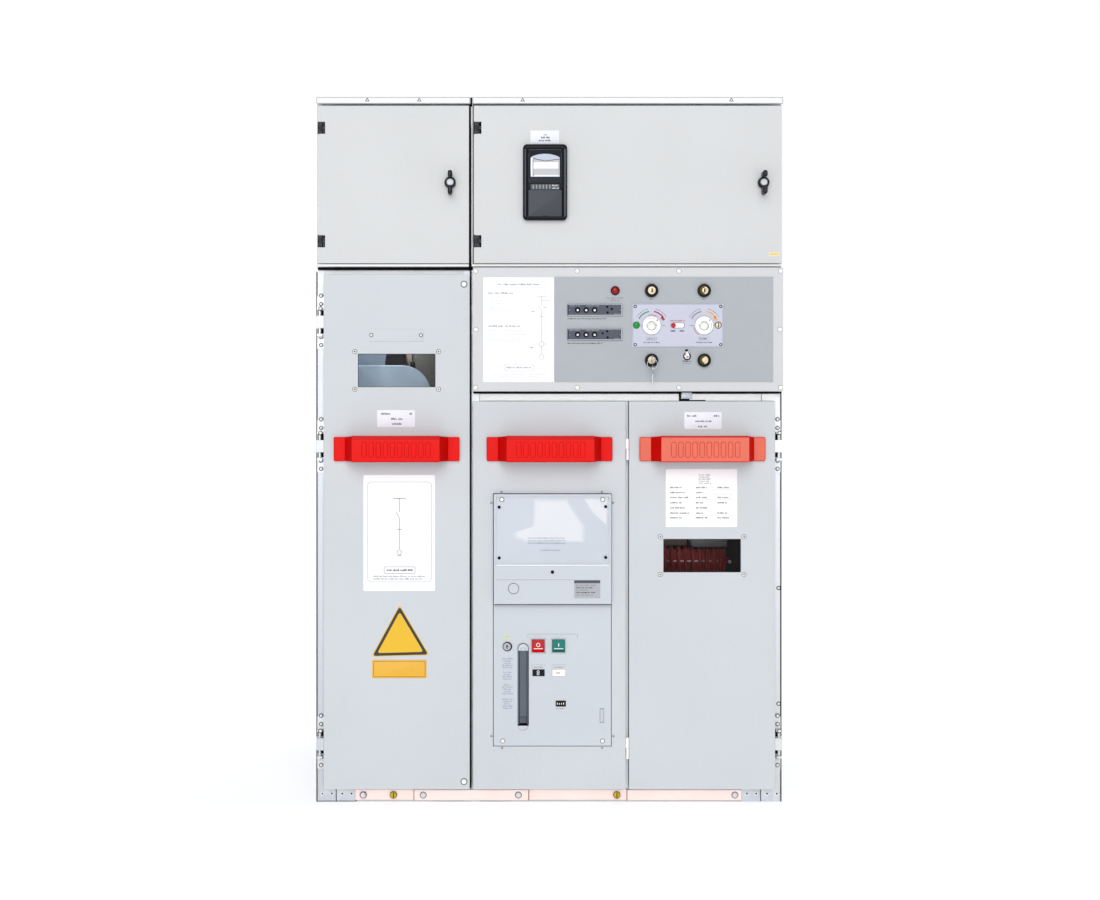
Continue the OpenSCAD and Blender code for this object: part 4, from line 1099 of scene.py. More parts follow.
@dataclass
class Relay:
    """The protection relay in the wide low voltage door: a dark moulded frame round a display,
    a row of lamps and a hinged flap over its keys."""

    lamp_pitch: float = 8.0
    lamps_shown: int = 6

    def build(self) -> None:
        """Dresses the case and adds the frame's steps, display, lamps, flap and label."""
        dress("relay_case", RELAY, 1.6)
        box = Box.of("relay_case")
        piece = Piece("relay_face", "right_lv_leaf", box.front)
        self.border(piece, box)
        self.display(piece, box)
        self.lamps(piece, box)
        self.flap(piece, box)
        piece.finish("relay_plastic")
        self.label(box.x, box.z1)

    def border(self, piece: Piece, box: Box) -> None:
        """The stepped frame with its dark outer edge, higher at its rim than inside."""
        outer = rounded(box.x0 + 0.3, box.z0 + 0.3, box.x1 - 0.3, box.z1 - 0.3, 9, 5)
        steps = ((0, -6), (0, 0.6), (1, 1.8), (3.4, 2.8), (7.6, 2.8), (9, 2.2), (9.4, -1))
        piece.rim(RELAY_BLACK, outer, [(inset, rise) for inset, rise in steps])
        low, high = box.z0 + 8, box.z1 - 12
        piece.plate(RELAY_FLAP, (box.x0 + 3.6, box.x0 + 7), (low, high), (2, 3.2), 1, 0.3)
        piece.plate(RELAY_FLAP, (box.x1 - 7.8, box.x1 - 2.2), (low, high), (1.6, 3.2), 1.5, 0.3)
        piece.plate(RELAY, (box.x0 + 8, box.x1 - 8), (box.z1 - 8.6, box.z1 - 6), (2, 3.2), 1, 0.4)
        inner = rounded(box.x0 + 9, box.z0 + 9, box.x1 - 9, box.z1 - 9, 5, 4)
        piece.rim(RELAY_BLACK, inner, [(0, -0.5), (0, 2), (3.2, 0.3), (3.2, -0.5)])
        top = box.z1 - 11.5
        piece.plate(RELAY_BLACK, (box.x0 + 11.5, box.x1 - 11.5), (top - 10.5, top), (-0.5, 0.25))
        piece.plate(RELAY_FLAP, (box.x0 + 14, box.x1 - 14), (top - 2.4, top - 0.8), (-0.5, 0.6), 0, 0.3)

    def display(self, piece: Piece, box: Box) -> None:
        """The display: a bluish screen with an arched top over a grey field and a white band."""
        x = box.x
        z0, z1 = 1506, 1561.5
        left, right = x - 35, x + 35
        arch = [(left, z0), (right, z0), (right, z1 - 9)]
        for k in range(1, 12):
            t = k / 12
            arch.append((right - (right - left) * t, z1 - 9 + 9 * math.sin(math.pi * t) ** 0.7))
        arch.append((left, z1 - 9))
        piece.prism(RELAY_BLACK, shrunk(arch, -3.2), -2.9, 0.3)
        piece.prism(SCREEN, arch, -2.9, 0.5, 0.3)
        piece.w += 0.5
        piece.print(SCREEN_LOW, (left + 1, right - 0.6), (z0 + 1, z0 + 43))
        piece.w += PRINT
        piece.print(WHITE_INK, (left + 0.6, left + 4.4), (z0 + 1.5, z1 - 10))
        piece.print(WHITE_INK, (left + 5.5, right - 3.8), (z0 + 20, z0 + 35))
        piece.print(LABEL_WHITE, (left + 9, right - 1), (z0 + 1.2, z0 + 4.6))
        piece.line(INK, [(left + 7, z0 + 44), (x, z0 + 38), (right - 0.6, z0 + 42.5)], 1.5)
        piece.line(GREY_INK, [(left + 7, z0 + 2), (left + 5.8, z0 + 22), (left + 7.4, z1 - 12)], 1.1)
        piece.line(GREY_INK, [(right - 3.6, z0 + 3), (right - 3.6, z0 + 19)], 0.7)
        piece.w = box.front

    def lamps(self, piece: Piece, box: Box) -> None:
        """A plain ledge, and under it a grey strip with small signal lamps."""
        x = box.x
        piece.plate(RELAY, (x - 41, x + 40), (1491, 1503.5), (-1, 0.9), 1, 0.6)
        piece.plate(RELAY_BLACK, (x - 40, x + 40), (1472, 1491.5), (-1, 0.3))
        piece.plate(INDICATOR, (x - 35, x + 34), (1475.5, 1488.5), (-0.6, 0.7), 0.6, 0.3)
        for k in range(self.lamps_shown):
            u = x - 30 + self.lamp_pitch * k
            piece.plate(GREY_PLASTIC, (u, u + 2.8), (1477, 1487), (0.4, 1.1), 0.6, 0.3)
        piece.w += 0.7
        for v in (1479, 1485.4):
            piece.words(FAINT_INK, (x + 17, x + 33), v, 3.4, int(v))
        piece.w = box.front

    def flap(self, piece: Piece, box: Box) -> None:
        """The flap over the keys, with a dark gap round it and a small finger notch."""
        x = box.x
        low, high = box.z0 + 7, box.z0 + 72.5
        piece.plate(RELAY_BLACK, (x - 43.5, x + 43.5), (low - 3.4, high + 1.6), (-1, 0.3), 1)
        piece.plate(RELAY_FLAP, (x - 40.5, x + 40), (low, high), (-0.5, 2.4), 1.5, 1)
        piece.plate(RELAY_BLACK, (x - 4.5, x + 4.5), (low + 1.2, low + 3.2), (2.1, 2.6), 0.8, 0.2)

    def label(self, x: float, top: float) -> None:
        """The white function label over the relay."""
        door = Box.of("right_lv_door")
        z1 = top + 35
        piece = Piece("relay_label", "right_lv_leaf", door.front)
        piece.plate(LABEL_WHITE, (x - 35, x + 34), (top + 3, z1), (-0.2, 0.5), 1.5, 0.3)
        piece.w += 0.5
        for v, reach in ((z1 - 10, 4), (z1 - 17, 10.5), (z1 - 23.8, 16)):
            piece.words(INK, (x + 1 - reach, x + 2 + reach), v, 4.4, int(v))
        piece.finish("lv_paint")
        sticker = Piece("door_sticker", "right_lv_leaf", door.front)
        sticker.print(PALE_YELLOW, (door.x1 - 31, door.x1 - 6.5), (door.z0 + 18, door.z0 + 26))
        sticker.w += PRINT
        sticker.print(YELLOW, (door.x1 - 29, door.x1 - 8.5), (door.z0 + 20.8, door.z0 + 23.4))
        sticker.finish("lv_paint")


@dataclass
class LowVoltageBoxes:
    """The low voltage boxes on top: bodies, lids, doors, hinges, knobs and the relay."""

    def build(self) -> None:
        """Dresses both boxes and builds what is on their doors."""
        for node in ("left_lv_box", "right_lv_box"):
            dress(node, BOX_PAINT, 0.8)
        for node in ("left_lv_door", "right_lv_door"):
            dress(node, BOX_PAINT, 1.2)
        dress("lv_lids", LID_PAINT, 0.9)
        for node in ("lv_hinge_blocks", "left_lv_knuckles", "right_lv_knuckles"):
            dress(node, SOFT_BLACK, 1)
        WingKnob("left_lv_knob", "left_wing_knob", "left_lv_latch").build()
        WingKnob("right_lv_knob", "right_wing_knob", "right_lv_latch").build()
        Relay().build()
        self.hinge_slots()
        self.side_screws()

    def hinge_slots(self) -> None:
        """Painted shade in the slot and along the edge of each hinge, part on its fixed block, part on its
        moving arm.
        """
        face = Box.of("lv_hinge_blocks").front
        fixed = Piece("hinge_block_edges", w=face)
        for name, node, body in (
            ("left_hinge_arms", "left_lv_knuckles", "left_lv_leaf"),
            ("right_hinge_arms", "right_lv_knuckles", "right_lv_leaf"),
        ):
            x = Box.of(node).x0
            arms = Piece(name, body, face)
            for z, low, high in ((1354.5, -5.7, 2.5), (1624.5, -2.5, 5.7)):
                for piece, start, end in (
                    (fixed, -14.5, low - 0.7), (arms, low + 0.3, high - 0.3), (fixed, high + 0.7, 14.5)
                ):
                    # Painted shade: black plates along the hinge's edge and in its slot.
                    piece.plate(BLACK, (x + 0.1, x + 1.7), (z + start, z + end), (-2, 0.25))
                    start, end = max(start, -6.8), min(end, 6.8)
                    if end - start > 1:
                        piece.plate(BLACK, (x + 7.2, x + 12.8), (z + start, z + end), (-0.6, 0.4))
            arms.finish("black_plastic")
        fixed.finish("black_plastic")

    def side_screws(self) -> None:
        """Screws along the sides of the boxes, under the lids."""
        for name, side, sign, depth in (
            ("left_box_screws", Side.LEFT, -1, 560.5),
            ("right_box_screws", Side.RIGHT, 1, 562.3),
        ):
            piece = Piece(name, w=depth, side=side)
            for y in (-420, -290, -165):
                piece.lathe(ZINC_SCREW, sign * y, 1650, [(4.6, -0.5), (4.6, 0.02), (3.6, 0.16)], 16)
            piece.finish("zinc")


@dataclass
class Sheet:
    """A printed sheet or label stuck on a door or panel: where it is and what it rides on."""

    name: str
    body: str
    u: Span
    v: Span
    face: float
    finish: Finish = SHEET_WHITE
    corner: float = 2.0
    piece: Piece = field(init=False)

    def __post_init__(self) -> None:
        """Lays the sheet's film."""
        self.piece = Piece(self.name, self.body, self.face)
        self.piece.plate(self.finish, self.u, self.v, (-0.2, 0.4), self.corner, 0.2)
        self.piece.w += 0.4


@dataclass
class OperatingPanel:
    """The operating panel: its printed fascia with the lamp, voltage indicators, drives, locks
    and toggle, and the operating instructions beside it."""

    screw_pitch: float = 244.0
    screw_inset: float = 8.6
    indicator_rises: Span = (1186.5, 1127.5)
    contacts: tuple[tuple[Point, ...], ...] = (
        ((95, 7.4), (106, 2.2), (96, -6.2)),
        ((95, 7.6), (84, 3), (96, -6.8)),
    )
    lock_columns: Span = (244.5, 370.5)
    lock_rows: Span = (1066, 1233)
    toggle: Point = (330, 1075.5)

    def build(self) -> None:
        """Dresses the panel's CAD nodes and adds its details."""
        for node, finish, bevel in (
            ("operating_panel", PANEL_PAINT, 0.9), ("panel_frame", PANEL_PAINT, 0.5),
            ("fascia", FASCIA, 0.4), ("drive_plate", DRIVE_SHEET, 0.4),
            ("line_drive", WHITE_PLASTIC, 0.8), ("earth_drive", WHITE_PLASTIC, 0.8),
            ("selector_slide", RED_PLASTIC, 0.9), ("voltage_indicators", INDICATOR, 0.8),
            ("lock_bezels", BLACK, 1.6), ("lock_cylinders", BRASS, 0.5), ("hanging_keys", STEEL_KEY, 0.4),
            ("toggle_bush", CHROME, 0.6), ("toggle_lever", CHROME, 0.3),
        ):
            dress(node, finish, bevel)
        self.screws()
        self.lamp()
        self.indicators()
        self.drive_print()
        self.drive_details()
        self.locks()
        self.instructions()

    def screws(self) -> None:
        """The white domed screws along the panel's top and bottom and at its sides."""
        panel = Box.of("operating_panel")
        piece = Piece("panel_screws", w=panel.front)
        for k in range(4):
            x = panel.x0 + 6 + self.screw_pitch * k
            for z in (panel.z0 + self.screw_inset, panel.z1 - self.screw_inset):
                WHITE_BOLT.put(piece, x, z)
        for x in (panel.x0 + 7, panel.x1 - 7.2):
            WHITE_BOLT.put(piece, x, panel.z - 0.5)
        piece.finish("zinc")

    def lamp(self) -> None:
        """The red pilot lamp in its black rim, with its label."""
        box = Box.of("pilot_lamp")
        x, z = box.x, box.z
        piece = Piece("red_pilot_lamp", w=box.back)
        rim = [(10.8, 0), (10.8, 3.4), (10.2, 4.4), (9.2, 4.4), (8.8, 3.4)]
        piece.lathe(BLACK, x, z, rim, 36)
        dome = [(8.9, 2.5)]
        for k in range(7):
            angle = math.pi / 2 * k / 6
            dome.append((8.8 * math.cos(angle), 3.4 + 4.4 * math.sin(angle)))
        piece.lathe(RED_LENS, x, z, dome, 36)
        piece.finish("red_plastic", replaces=("pilot_lamp",))
        text = Piece("lamp_label", w=box.back)
        text.words(GREY_INK, (x - 19, x + 20), z - 17.5, 3.8, 3)
        text.words(GREY_INK, (x - 11, x + 12), z - 22.8, 3.6, 4)
        text.finish("fascia_grey")

    def indicators(self) -> None:
        """The two voltage indicators: pale borders, test sockets, lamps, end screws and labels."""
        box = Box.of("voltage_indicators")
        x0, x1 = box.x0, box.x1
        face = Box.of("fascia").front + 4
        half = 13.8
        for number, z in enumerate(self.indicator_rises):
            piece = Piece(f"indicator_face_{number + 1}", w=face)
            low, high = z - half + 0.6, z + half - 0.6
            for u, v in (
                ((x0 + 0.6, x1 - 0.6), (low, low + 1.1)),
                ((x1 - 1.7, x1 - 0.6), (low, high)),
                ((x0 + 0.6, x1 - 0.6), (high - 0.6, high)),
            ):
                piece.plate(LABEL_WHITE, u, v, (-2, 0.5), 0.3, 0.2)
            piece.plate(BLACK_RUBBER_AND_SHADE, (x0 + 0.4, x0 + 1.8), (low + 2, high), (-2, 0.4), 0.3, 0.2)
            for k in range(3):
                u = x0 + 24 + 20.3 * k
                ring = [(6.4, -0.3), (6.4, 2.6), (5.8, 3.6), (3.6, 3.6), (3.2, 2.4)]
                piece.lathe(BLACK_RUBBER_AND_SHADE, u, z, ring, 28)
                piece.lathe(WHITE_PLASTIC, u + 0.5, z - 1.2, [(2.7, 2), (2.7, 3.2), (1.9, 3.9)], 20)
            for u in (x0 + 5.2, x1 - 5):
                Screw(2.3, 1, GREY_PLASTIC, Head.CROSS, gap=0.9).put(piece, u, z - 0.5)
            piece.words(BLUE_GREY_INK, (x0 + 5, x0 + 30), z + 10, 2.4, 11 + number)
            piece.words(BLUE_GREY_INK, (x0 + 45, x0 + 76), z + 10, 2.4, 13 + number)
            piece.words(BLUE_GREY_INK, (x1 - 19, x1 - 4), z - 10, 2.4, 15 + number)
            for u, v in self.contacts[number]:
                piece.lathe(BLACK_RUBBER_AND_SHADE, x0 + u, z + v, [(2.6, -0.2), (2.6, 0.8), (2, 1.2)], 18)
            piece.finish("indicator_plastic")
            label = Piece(f"indicator_label_{number + 1}", w=face - 4)
            label.words(INK, (x0, x0 + (92, 83)[number]), z - 20.6, 2.9, 17 + number)
            label.finish("fascia_grey")

    def drive_print(self) -> None:
        """What is printed on the drive plate: coloured arcs, framed labels and the slot's marks."""
        plate = Box.of("drive_plate")
        z = plate.z
        line, earth = Box.of("line_drive"), Box.of("earth_drive")
        piece = Piece("drive_plate_print", w=plate.front)
        across, upward = (plate.x0 + 2, plate.x1 - 2), (plate.z0 + 2, plate.z1 - 2)
        piece.frame(BLUE_GREY_INK, across, upward, 0.8, 2)
        for x, left, right in ((line.x, GREEN_INK, CRIMSON_INK), (earth.x, GREY_INK, AMBER_INK)):
            piece.arc(left, x, z, 34, (100, 152), 3)
            piece.arc(right, x, z, 34, (34, 80), 3.4)
            tip = [(x + 34 * math.cos(a) - 1.5, z + 34 * math.sin(a)) for a in (0.42, 0.6)]
            piece.line(right, [(tip[1][0] - 3, tip[1][1] + 1), (tip[0][0] + 1, tip[0][1] - 1)], 6.4)
            for start, end in ((102, 152), (30, 78)):
                for k in range(6):
                    low = start + (end - start) * (k + 0.1) / 6
                    piece.arc(GREY_INK, x, z, 40.5, (low, low + 5.4), 2)
            for side in (-1, 1):
                piece.line(GREY_INK, [(x + side * 36, z), (x + side * 27, z)], 0.9)
                piece.arc(GREY_INK, x, z, 27.5, (180 if side < 0 else 0, 182 if side < 0 else 2), 8)
            piece.frame(GREY_INK, (x - 13, x + 12), (plate.z0 + 16.6, plate.z0 + 23.8), 0.7)
            piece.words(INK, (x - 10, x + 9), plate.z0 + 20.2, 3.4, int(x))
            piece.words(INK, (x - 19, x + 20), plate.z0 + 11.4, 3.2, int(x) + 5)
        piece.arc(CRIMSON_INK, line.x, z, 25.6, (60, 108), 1.1)
        piece.arc(CRIMSON_INK, earth.x, z, 25.6, (190, 240), 1.1)
        middle = (line.x + earth.x) / 2
        piece.words(CRIMSON_INK, (middle - 18, middle + 17), z + 11.5, 3.4, 21)
        piece.plate(BLACK_RUBBER_AND_SHADE, (middle - 15, middle + 16.5), (z - 6.6, z + 6.8), (-0.1, 0.2), 6, 0.1)
        piece.plate(WHITE_PLASTIC, (middle - 14, middle + 15.5), (z - 5.6, z + 5.8), (-0.1, 0.3), 5.4, 0.1)
        piece.print(INK, (middle - 17, middle - 6), (z - 14.6, z - 11.8))
        piece.print(INK, (middle + 4.4, middle + 15), (z - 14.6, z - 11.8))
        piece.finish("drive_plate")

    def drive_details(self) -> None:
        """The green button, the brass stud, the corner screws and the sockets in the discs."""
        plate = Box.of("drive_plate")
        z = plate.z
        piece = Piece("drive_plate_fittings", w=plate.front)
        x = plate.x0 + 9.8
        piece.lathe(BLACK_RUBBER_AND_SHADE, x, z + 0.6, [(8.4, -0.2), (8.4, 0.6), (8, 0.8)], 28)
        green = [(7.9, 0.2), (7.9, 2.4), (6.6, 3.8), (3, 4.6)]
        piece.lathe(GREEN_LENS, x, z + 0.6, green, 28)
        Screw(7.4, 3.4, BRASS, Head.SLOT, gap=1.2).put(piece, plate.x1 - 12, z + 0.6, turn=90)
        for x in (205.4, 410.6):
            for v in (1103.4, 1195):
                PLATE_SCREW.put(piece, x, v)
        piece.finish("brass")
        for node, body in (("line_drive", "line_drive_disc"), ("earth_drive", "earth_drive_disc")):
            box = Box.of(node)
            x, z = box.x, box.z
            marks = Piece(node + "_marks", body, box.front)
            marks.arc(GREY_INK, x, z, 22.2, (0, 359), 1)
            bottom = [(10.4, -14), (10.4, -12.5), (9.9, -12)]
            marks.lathe(WHITE_PLASTIC, x, z, bottom, 24)
            marks.arc(GREY_INK, x, z, 11.4, (165, 375), 1.3)
            marks.arc(GREY_INK, x, z, 17.5, (-40, 20) if node == "earth_drive" else (60, 125), 1)
            marks.lathe(INK, x + 13.5, z + 12.5, [(1.7, -0.1), (1.7, PRINT)], 16)
            marks.finish("white_plastic")

    def locks(self) -> None:
        """The locks' rims, keyholes and marks, and the toggle's ring nut and label."""
        face = Box.of("fascia").front
        bezel, faces = Box.of("lock_bezels"), Box.of("lock_cylinders")
        piece = Piece("lock_labels", w=face)
        for n, x in enumerate(self.lock_columns):
            piece.words(GREY_INK, (x - 5, x + 5), 1213.2, 3.6, int(x) + 9)
            piece.words(GREY_INK, (x - 9, x + 9), 1250.6 + n, 2.6, int(x) + 3)
        piece.words(INK, (319, 342), 1064, 3.6, 35)
        piece.words(GREY_INK, (319, 341), 1058.6, 3, 36)
        piece.finish("fascia_grey")
        nut = Piece("toggle_nut", w=face)
        nut.prism(BLACK_RUBBER_AND_SHADE, round_points(*self.toggle, 9.4, 24), 0, 1.2, 0.3)
        nut.prism(CHROME, round_points(*self.toggle, 7.4, 6), 0, 2.2, 0.4)
        nut.finish("nickel")
        lever = Piece("toggle_grip", "toggle")
        lever.rod(WHITE_PLASTIC, (330, 1076.5, face + 5), (327.6, 1087.5, face + 13), 3.4, 0.8)
        lever.rod(BLACK_RUBBER_AND_SHADE, (327.6, 1087.5, face + 13), (326.9, 1090.5, face + 15), 3.6, 1)
        lever.finish("nickel")
        rims = Piece("lock_rims", w=bezel.front)
        holes = Piece("lock_keyholes", w=faces.front)
        for x in self.lock_columns:
            for z in self.lock_rows:
                profile = [(0, -0.1), (0.3, 0.5), (2.6, 0.7), (3.4, -0.1)]
                rims.rim(BLACK, round_points(x, z, 15.8, 36), profile)
                # Painted shade: a dark crescent over the left of each right-hand lock's face.
                if x > 300:
                    turns = (1.5 + 0.2 * k for k in range(17))
                    shade = [(x + 11 * math.cos(a), z + 11 * math.sin(a)) for a in turns]
                    holes.prism(LOCK_SHADE, shade, -0.1, 0.12)
                holes.lathe(BRASS, x + 0.6, z, [(6.2, 0), (6.2, 0.5), (5.6, 0.8)], 28)
                if z > 1100:
                    holes.plate(BLACK_RUBBER_AND_SHADE, (x - 1, x + 2.2), (z - 5, z + 5), (0, 1), 1.2)
        rims.finish("black_plastic")
        holes.finish("brass")

    def instructions(self) -> None:
        """The white sheet of operating instructions: two blocks of lines and a line diagram."""
        panel, fascia = Box.of("operating_panel"), Box.of("fascia")
        across, upward = (panel.x0 + 24.5, fascia.x0 - 0.3), (fascia.z0, fascia.z1 - 1)
        sheet = Sheet("operating_instructions", "cabinet", across, upward, panel.front)
        piece = sheet.piece
        u0, u1 = sheet.u
        v0, v1 = sheet.v
        piece.frame(FAINT_INK, (u0 + 5, u1 - 5), (v0 + 5, v1 - 5), 0.9, 6)
        piece.frame(BLUE_GREY_INK, (u0 + 31, u1 - 27), (1240, 1256.5), 0.7, 4)
        piece.words(GREY_INK, (u0 + 36, u1 - 33), 1248.4, 4.6, 41)
        for right, v, seed in ((-85.2, 1227.6, 42), (-70.8, 1148.4, 43)):
            piece.words(GREY_INK, (-147.6, right), v, 4.4, seed)
        for v, right in (
            (1218, -82), (1209, -75.6), (1203, -96), (1191.5, -75.6), (1185.5, -88), (1179.5, -80),
            (1138, -62), (1128, -56.4), (1117, -60), (1111, -72), (1101, -58),
        ):
            piece.words(FAINT_INK, (-145.2, right), v, 4, int(v))
        x = -19.2
        for points in (
            [(x, 1220.4), (x, 1196)],
            [(x - 8, 1196), (x, 1186.8)],
            [(x, 1186.8), (x, 1110)],
            [(x, 1100), (x, 1080)],
            [(x - 11, 1219.4), (x + 11, 1219.4)],
            [(x, 1210), (x + 18, 1210)],
            [(x - 5, 1171.2), (x + 5, 1171.2)],
            [(x - 20, 1105.2), (x - 5.5, 1105.2)],
            [(x + 5.5, 1105.2), (x + 15, 1105.2)],
        ):
            piece.line(GREY_INK, points, 0.8)
        piece.frame(GREY_INK, (x - 5.5, x + 5.5), (1100, 1110), 0.8)
        piece.arc(GREY_INK, x, 1074, 5.5, (0, 359), 0.8)
        for u, v in ((-39.6, 1183.2), (-10, 1194), (-43.2, 1096.8)):
            piece.words(GREY_INK, (u - 4.5, u + 4.5), v, 3.6, int(v))
        piece.frame(BLUE_GREY_INK, (-109.2, -37.2), (1040.4, 1057.2), 0.8, 8)
        piece.words(GREY_INK, (-103, -43), 1048.8, 4.2, 51)
        piece.words(FAINT_INK, (-133.2, -12), 1032.5, 3.2, 52)
        piece.words(FAINT_INK, (-133.2, -24), 1026.5, 3.2, 53)
        piece.finish("panel_paint")


@dataclass
class BridgeHandle:
    """A red moulded bridge handle: two flat feet, two steep returns and a wide bar with a
    ribbed grip."""

    node: str
    name: str
    body: str
    foot: float = 27.0
    slope: float = 20.0
    foot_depth: float = 8.0
    ribs: int = 10
    # height of the band of painted shade along the bar's top
    band: float = 8.6
    bar_depth: float = 12.0
    finish: Finish = RED_GRIP

    def section(self, half: float, depth: float, top: float) -> list[Point]:
        """The handle's section: up, and outwards from its face, with a wide radius at the top.

        Args:
            half: half its height.
            depth: its thickness.
            top: the height of the curved band along its upper edge.

        Returns:
            The section's points, of which there are always as many.
        """
        points = [(-half + 1.2, -depth), (half - 1.2, -depth), (half, -depth + 1.2)]
        for k in range(7):
            angle = math.pi / 2 * k / 6
            points.append((half - top * (1 - math.cos(angle)), -top * 0.55 * (1 - math.sin(angle))))
        low = 2.4
        for k in range(5):
            angle = math.pi / 2 * k / 4
            points.append((-half + low * (1 - math.sin(angle)), -low * (1 - math.cos(angle))))
        points.append((-half, -depth + 1.2))
        return points

    def build(self) -> None:
        """Lofts the handle through its stations and adds its edges and grip ribs."""
        box = Box.of(self.node)
        x, z, face, front = box.x, box.z, box.back, box.front
        half = (box.x1 - box.x0) / 2
        outer, inner = half - self.foot, half - self.foot - self.slope
        low = face + self.foot_depth
        thin, thick = self.foot_depth, self.bar_depth
        stations = [
            (-half, low - 0.9, 27.4, thin - 1, 1.6),
            (-half + 0.9, low, 28.6, thin, 2.2),
            (-half + 2.2, low, 29, thin, 2.4),
            (-outer - 1.6, low, 29, thin, 2.4),
            (-outer, low + 0.6, 29.1, thin, 2.4),
            (-inner - 1.2, front - 3.4, 30.6, thick - 2, 4),
            (-inner, front - 1.3, 31.5, thick - 0.6, 9),
            (-inner + 1.2, front - 1.3, 31.5, thick - 0.2, 12.5),
        ]
        stations += [(-u, w, high, deep, top) for u, w, high, deep, top in reversed(stations)]
        rings = []
        for k, (u, w, high, deep, top) in enumerate(stations):
            here = Vector((u, w))
            ways = [
                (Vector(stations[n][:2]) - here).normalized() * sign
                for n, sign in ((k - 1, -1), (k + 1, 1))
                if 0 <= n < len(stations)
            ]
            way = sum(ways, Vector((0, 0))).normalized()
            stretch = 1 / max(0.5, ways[0].dot(way))
            out = Vector((-way.y, way.x))
            ring = []
            for a, b in self.section(high, deep, top):
                spot = here + out * b * stretch
                ring.append((x + spot.x, z + a, max(spot.y, face)))
            rings.append(ring)
        piece = Piece(self.name, self.body)
        count = len(rings) // 2
        piece.loft(self.finish, rings[: count - 3])
        piece.loft(self.finish, rings[-count + 3 :])
        # The steep returns are lofted in the darker red of painted shade.
        piece.loft(RED_PAINTED_SHADE, rings[count - 4 : count - 1])
        piece.loft(RED_PAINTED_SHADE, rings[-count + 1 : -count + 4])
        piece.loft(self.finish, rings[count - 2 : -count + 2])
        self.edges(piece, x, z, face, (half, outer, inner, front))
        self.grip(piece, x + 1, z, front)
        piece.finish("red_handle", replaces=(self.node,), sharp=28)

    def edges(self, piece: Piece, x: float, z: float, face: float, sizes: tuple[float, ...]) -> None:
        """Painted shade: deeper red bands along the bar's top and bottom, and lines round each foot."""
        half, outer, inner, front = sizes  # half length, foot's end, bar's start, bar's front
        bar, top = (x - inner, x + inner), z + 30.6
        piece.plate(RED_TOP_SHADE, bar, (top - self.band, top), (front - 4.5, front - 1.1), 0.8, 0.5)
        piece.plate(RED_PAINTED_SHADE, bar, (z - 31.4, z - 29.6), (front - 4.5, front - 1.2), 0.5, 0.3)
        low = face + self.foot_depth
        for side in (-1, 1):
            ends = sorted((x + side * (half - 0.2), x + side * (half - 1.5)))
            piece.plate(RED_PAINTED_SHADE, tuple(ends), (z - 26.5, z + 26.5), (low - 2, low + 0.15), 0.5, 0.2)
            ends = sorted((x + side * (half - 2), x + side * outer))
            for v in (-28.3, 27.4):
                piece.plate(RED_PAINTED_SHADE, tuple(ends), (z + v, z + v + 0.9), (low - 2, low + 0.15), 0.3, 0.2)

    def grip(self, piece: Piece, x: float, z: float, front: float) -> None:
        """Rounded ribs across the bar in a shallow field, each with a foot line of painted shade."""
        half, low, high = 84, -21, 17
        pitch = 2 * half / self.ribs
        for k in range(self.ribs):
            u = x - half + pitch * (k + 0.5)
            foot = rounded(u - pitch * 0.36, z + low, u + pitch * 0.36, z + high, pitch * 0.34, 5)
            piece.prism(RED_PAINTED_SHADE, foot, front - 2.5, front - 1.15, 0.2)
            piece.prism(self.finish, shrunk(foot, 1), front - 2.5, front, 0.8)


@dataclass
class DoorWindow:
    """An inspection window: a clear pane behind the sheet, with a screw outside each corner."""

    node: str
    name: str
    body: str
    reach: Point = (100.6, 45.2)

    def build(self) -> None:
        """Dresses the pane and adds its gasket and corner screws."""
        dress(self.node, PANE, 0.4)
        pane = Box.of(self.node)
        sheet = pane.front + 2
        x, z = pane.x, pane.z
        piece = Piece(self.name, self.body)
        for side in (-1, 1):
            for level in (-1, 1):
                WINDOW_SCREW.put(piece, x + side * self.reach[0], z + level * self.reach[1], sheet)
        outline = rounded(x - 93, z - 40, x + 93, z + 40, 1)
        piece.w = pane.front
        piece.rim(SOFT_BLACK, outline, [(-2.5, -0.05), (-2.5, 0.02), (0.9, 0.6), (1.1, 0)])
        piece.finish("zinc")


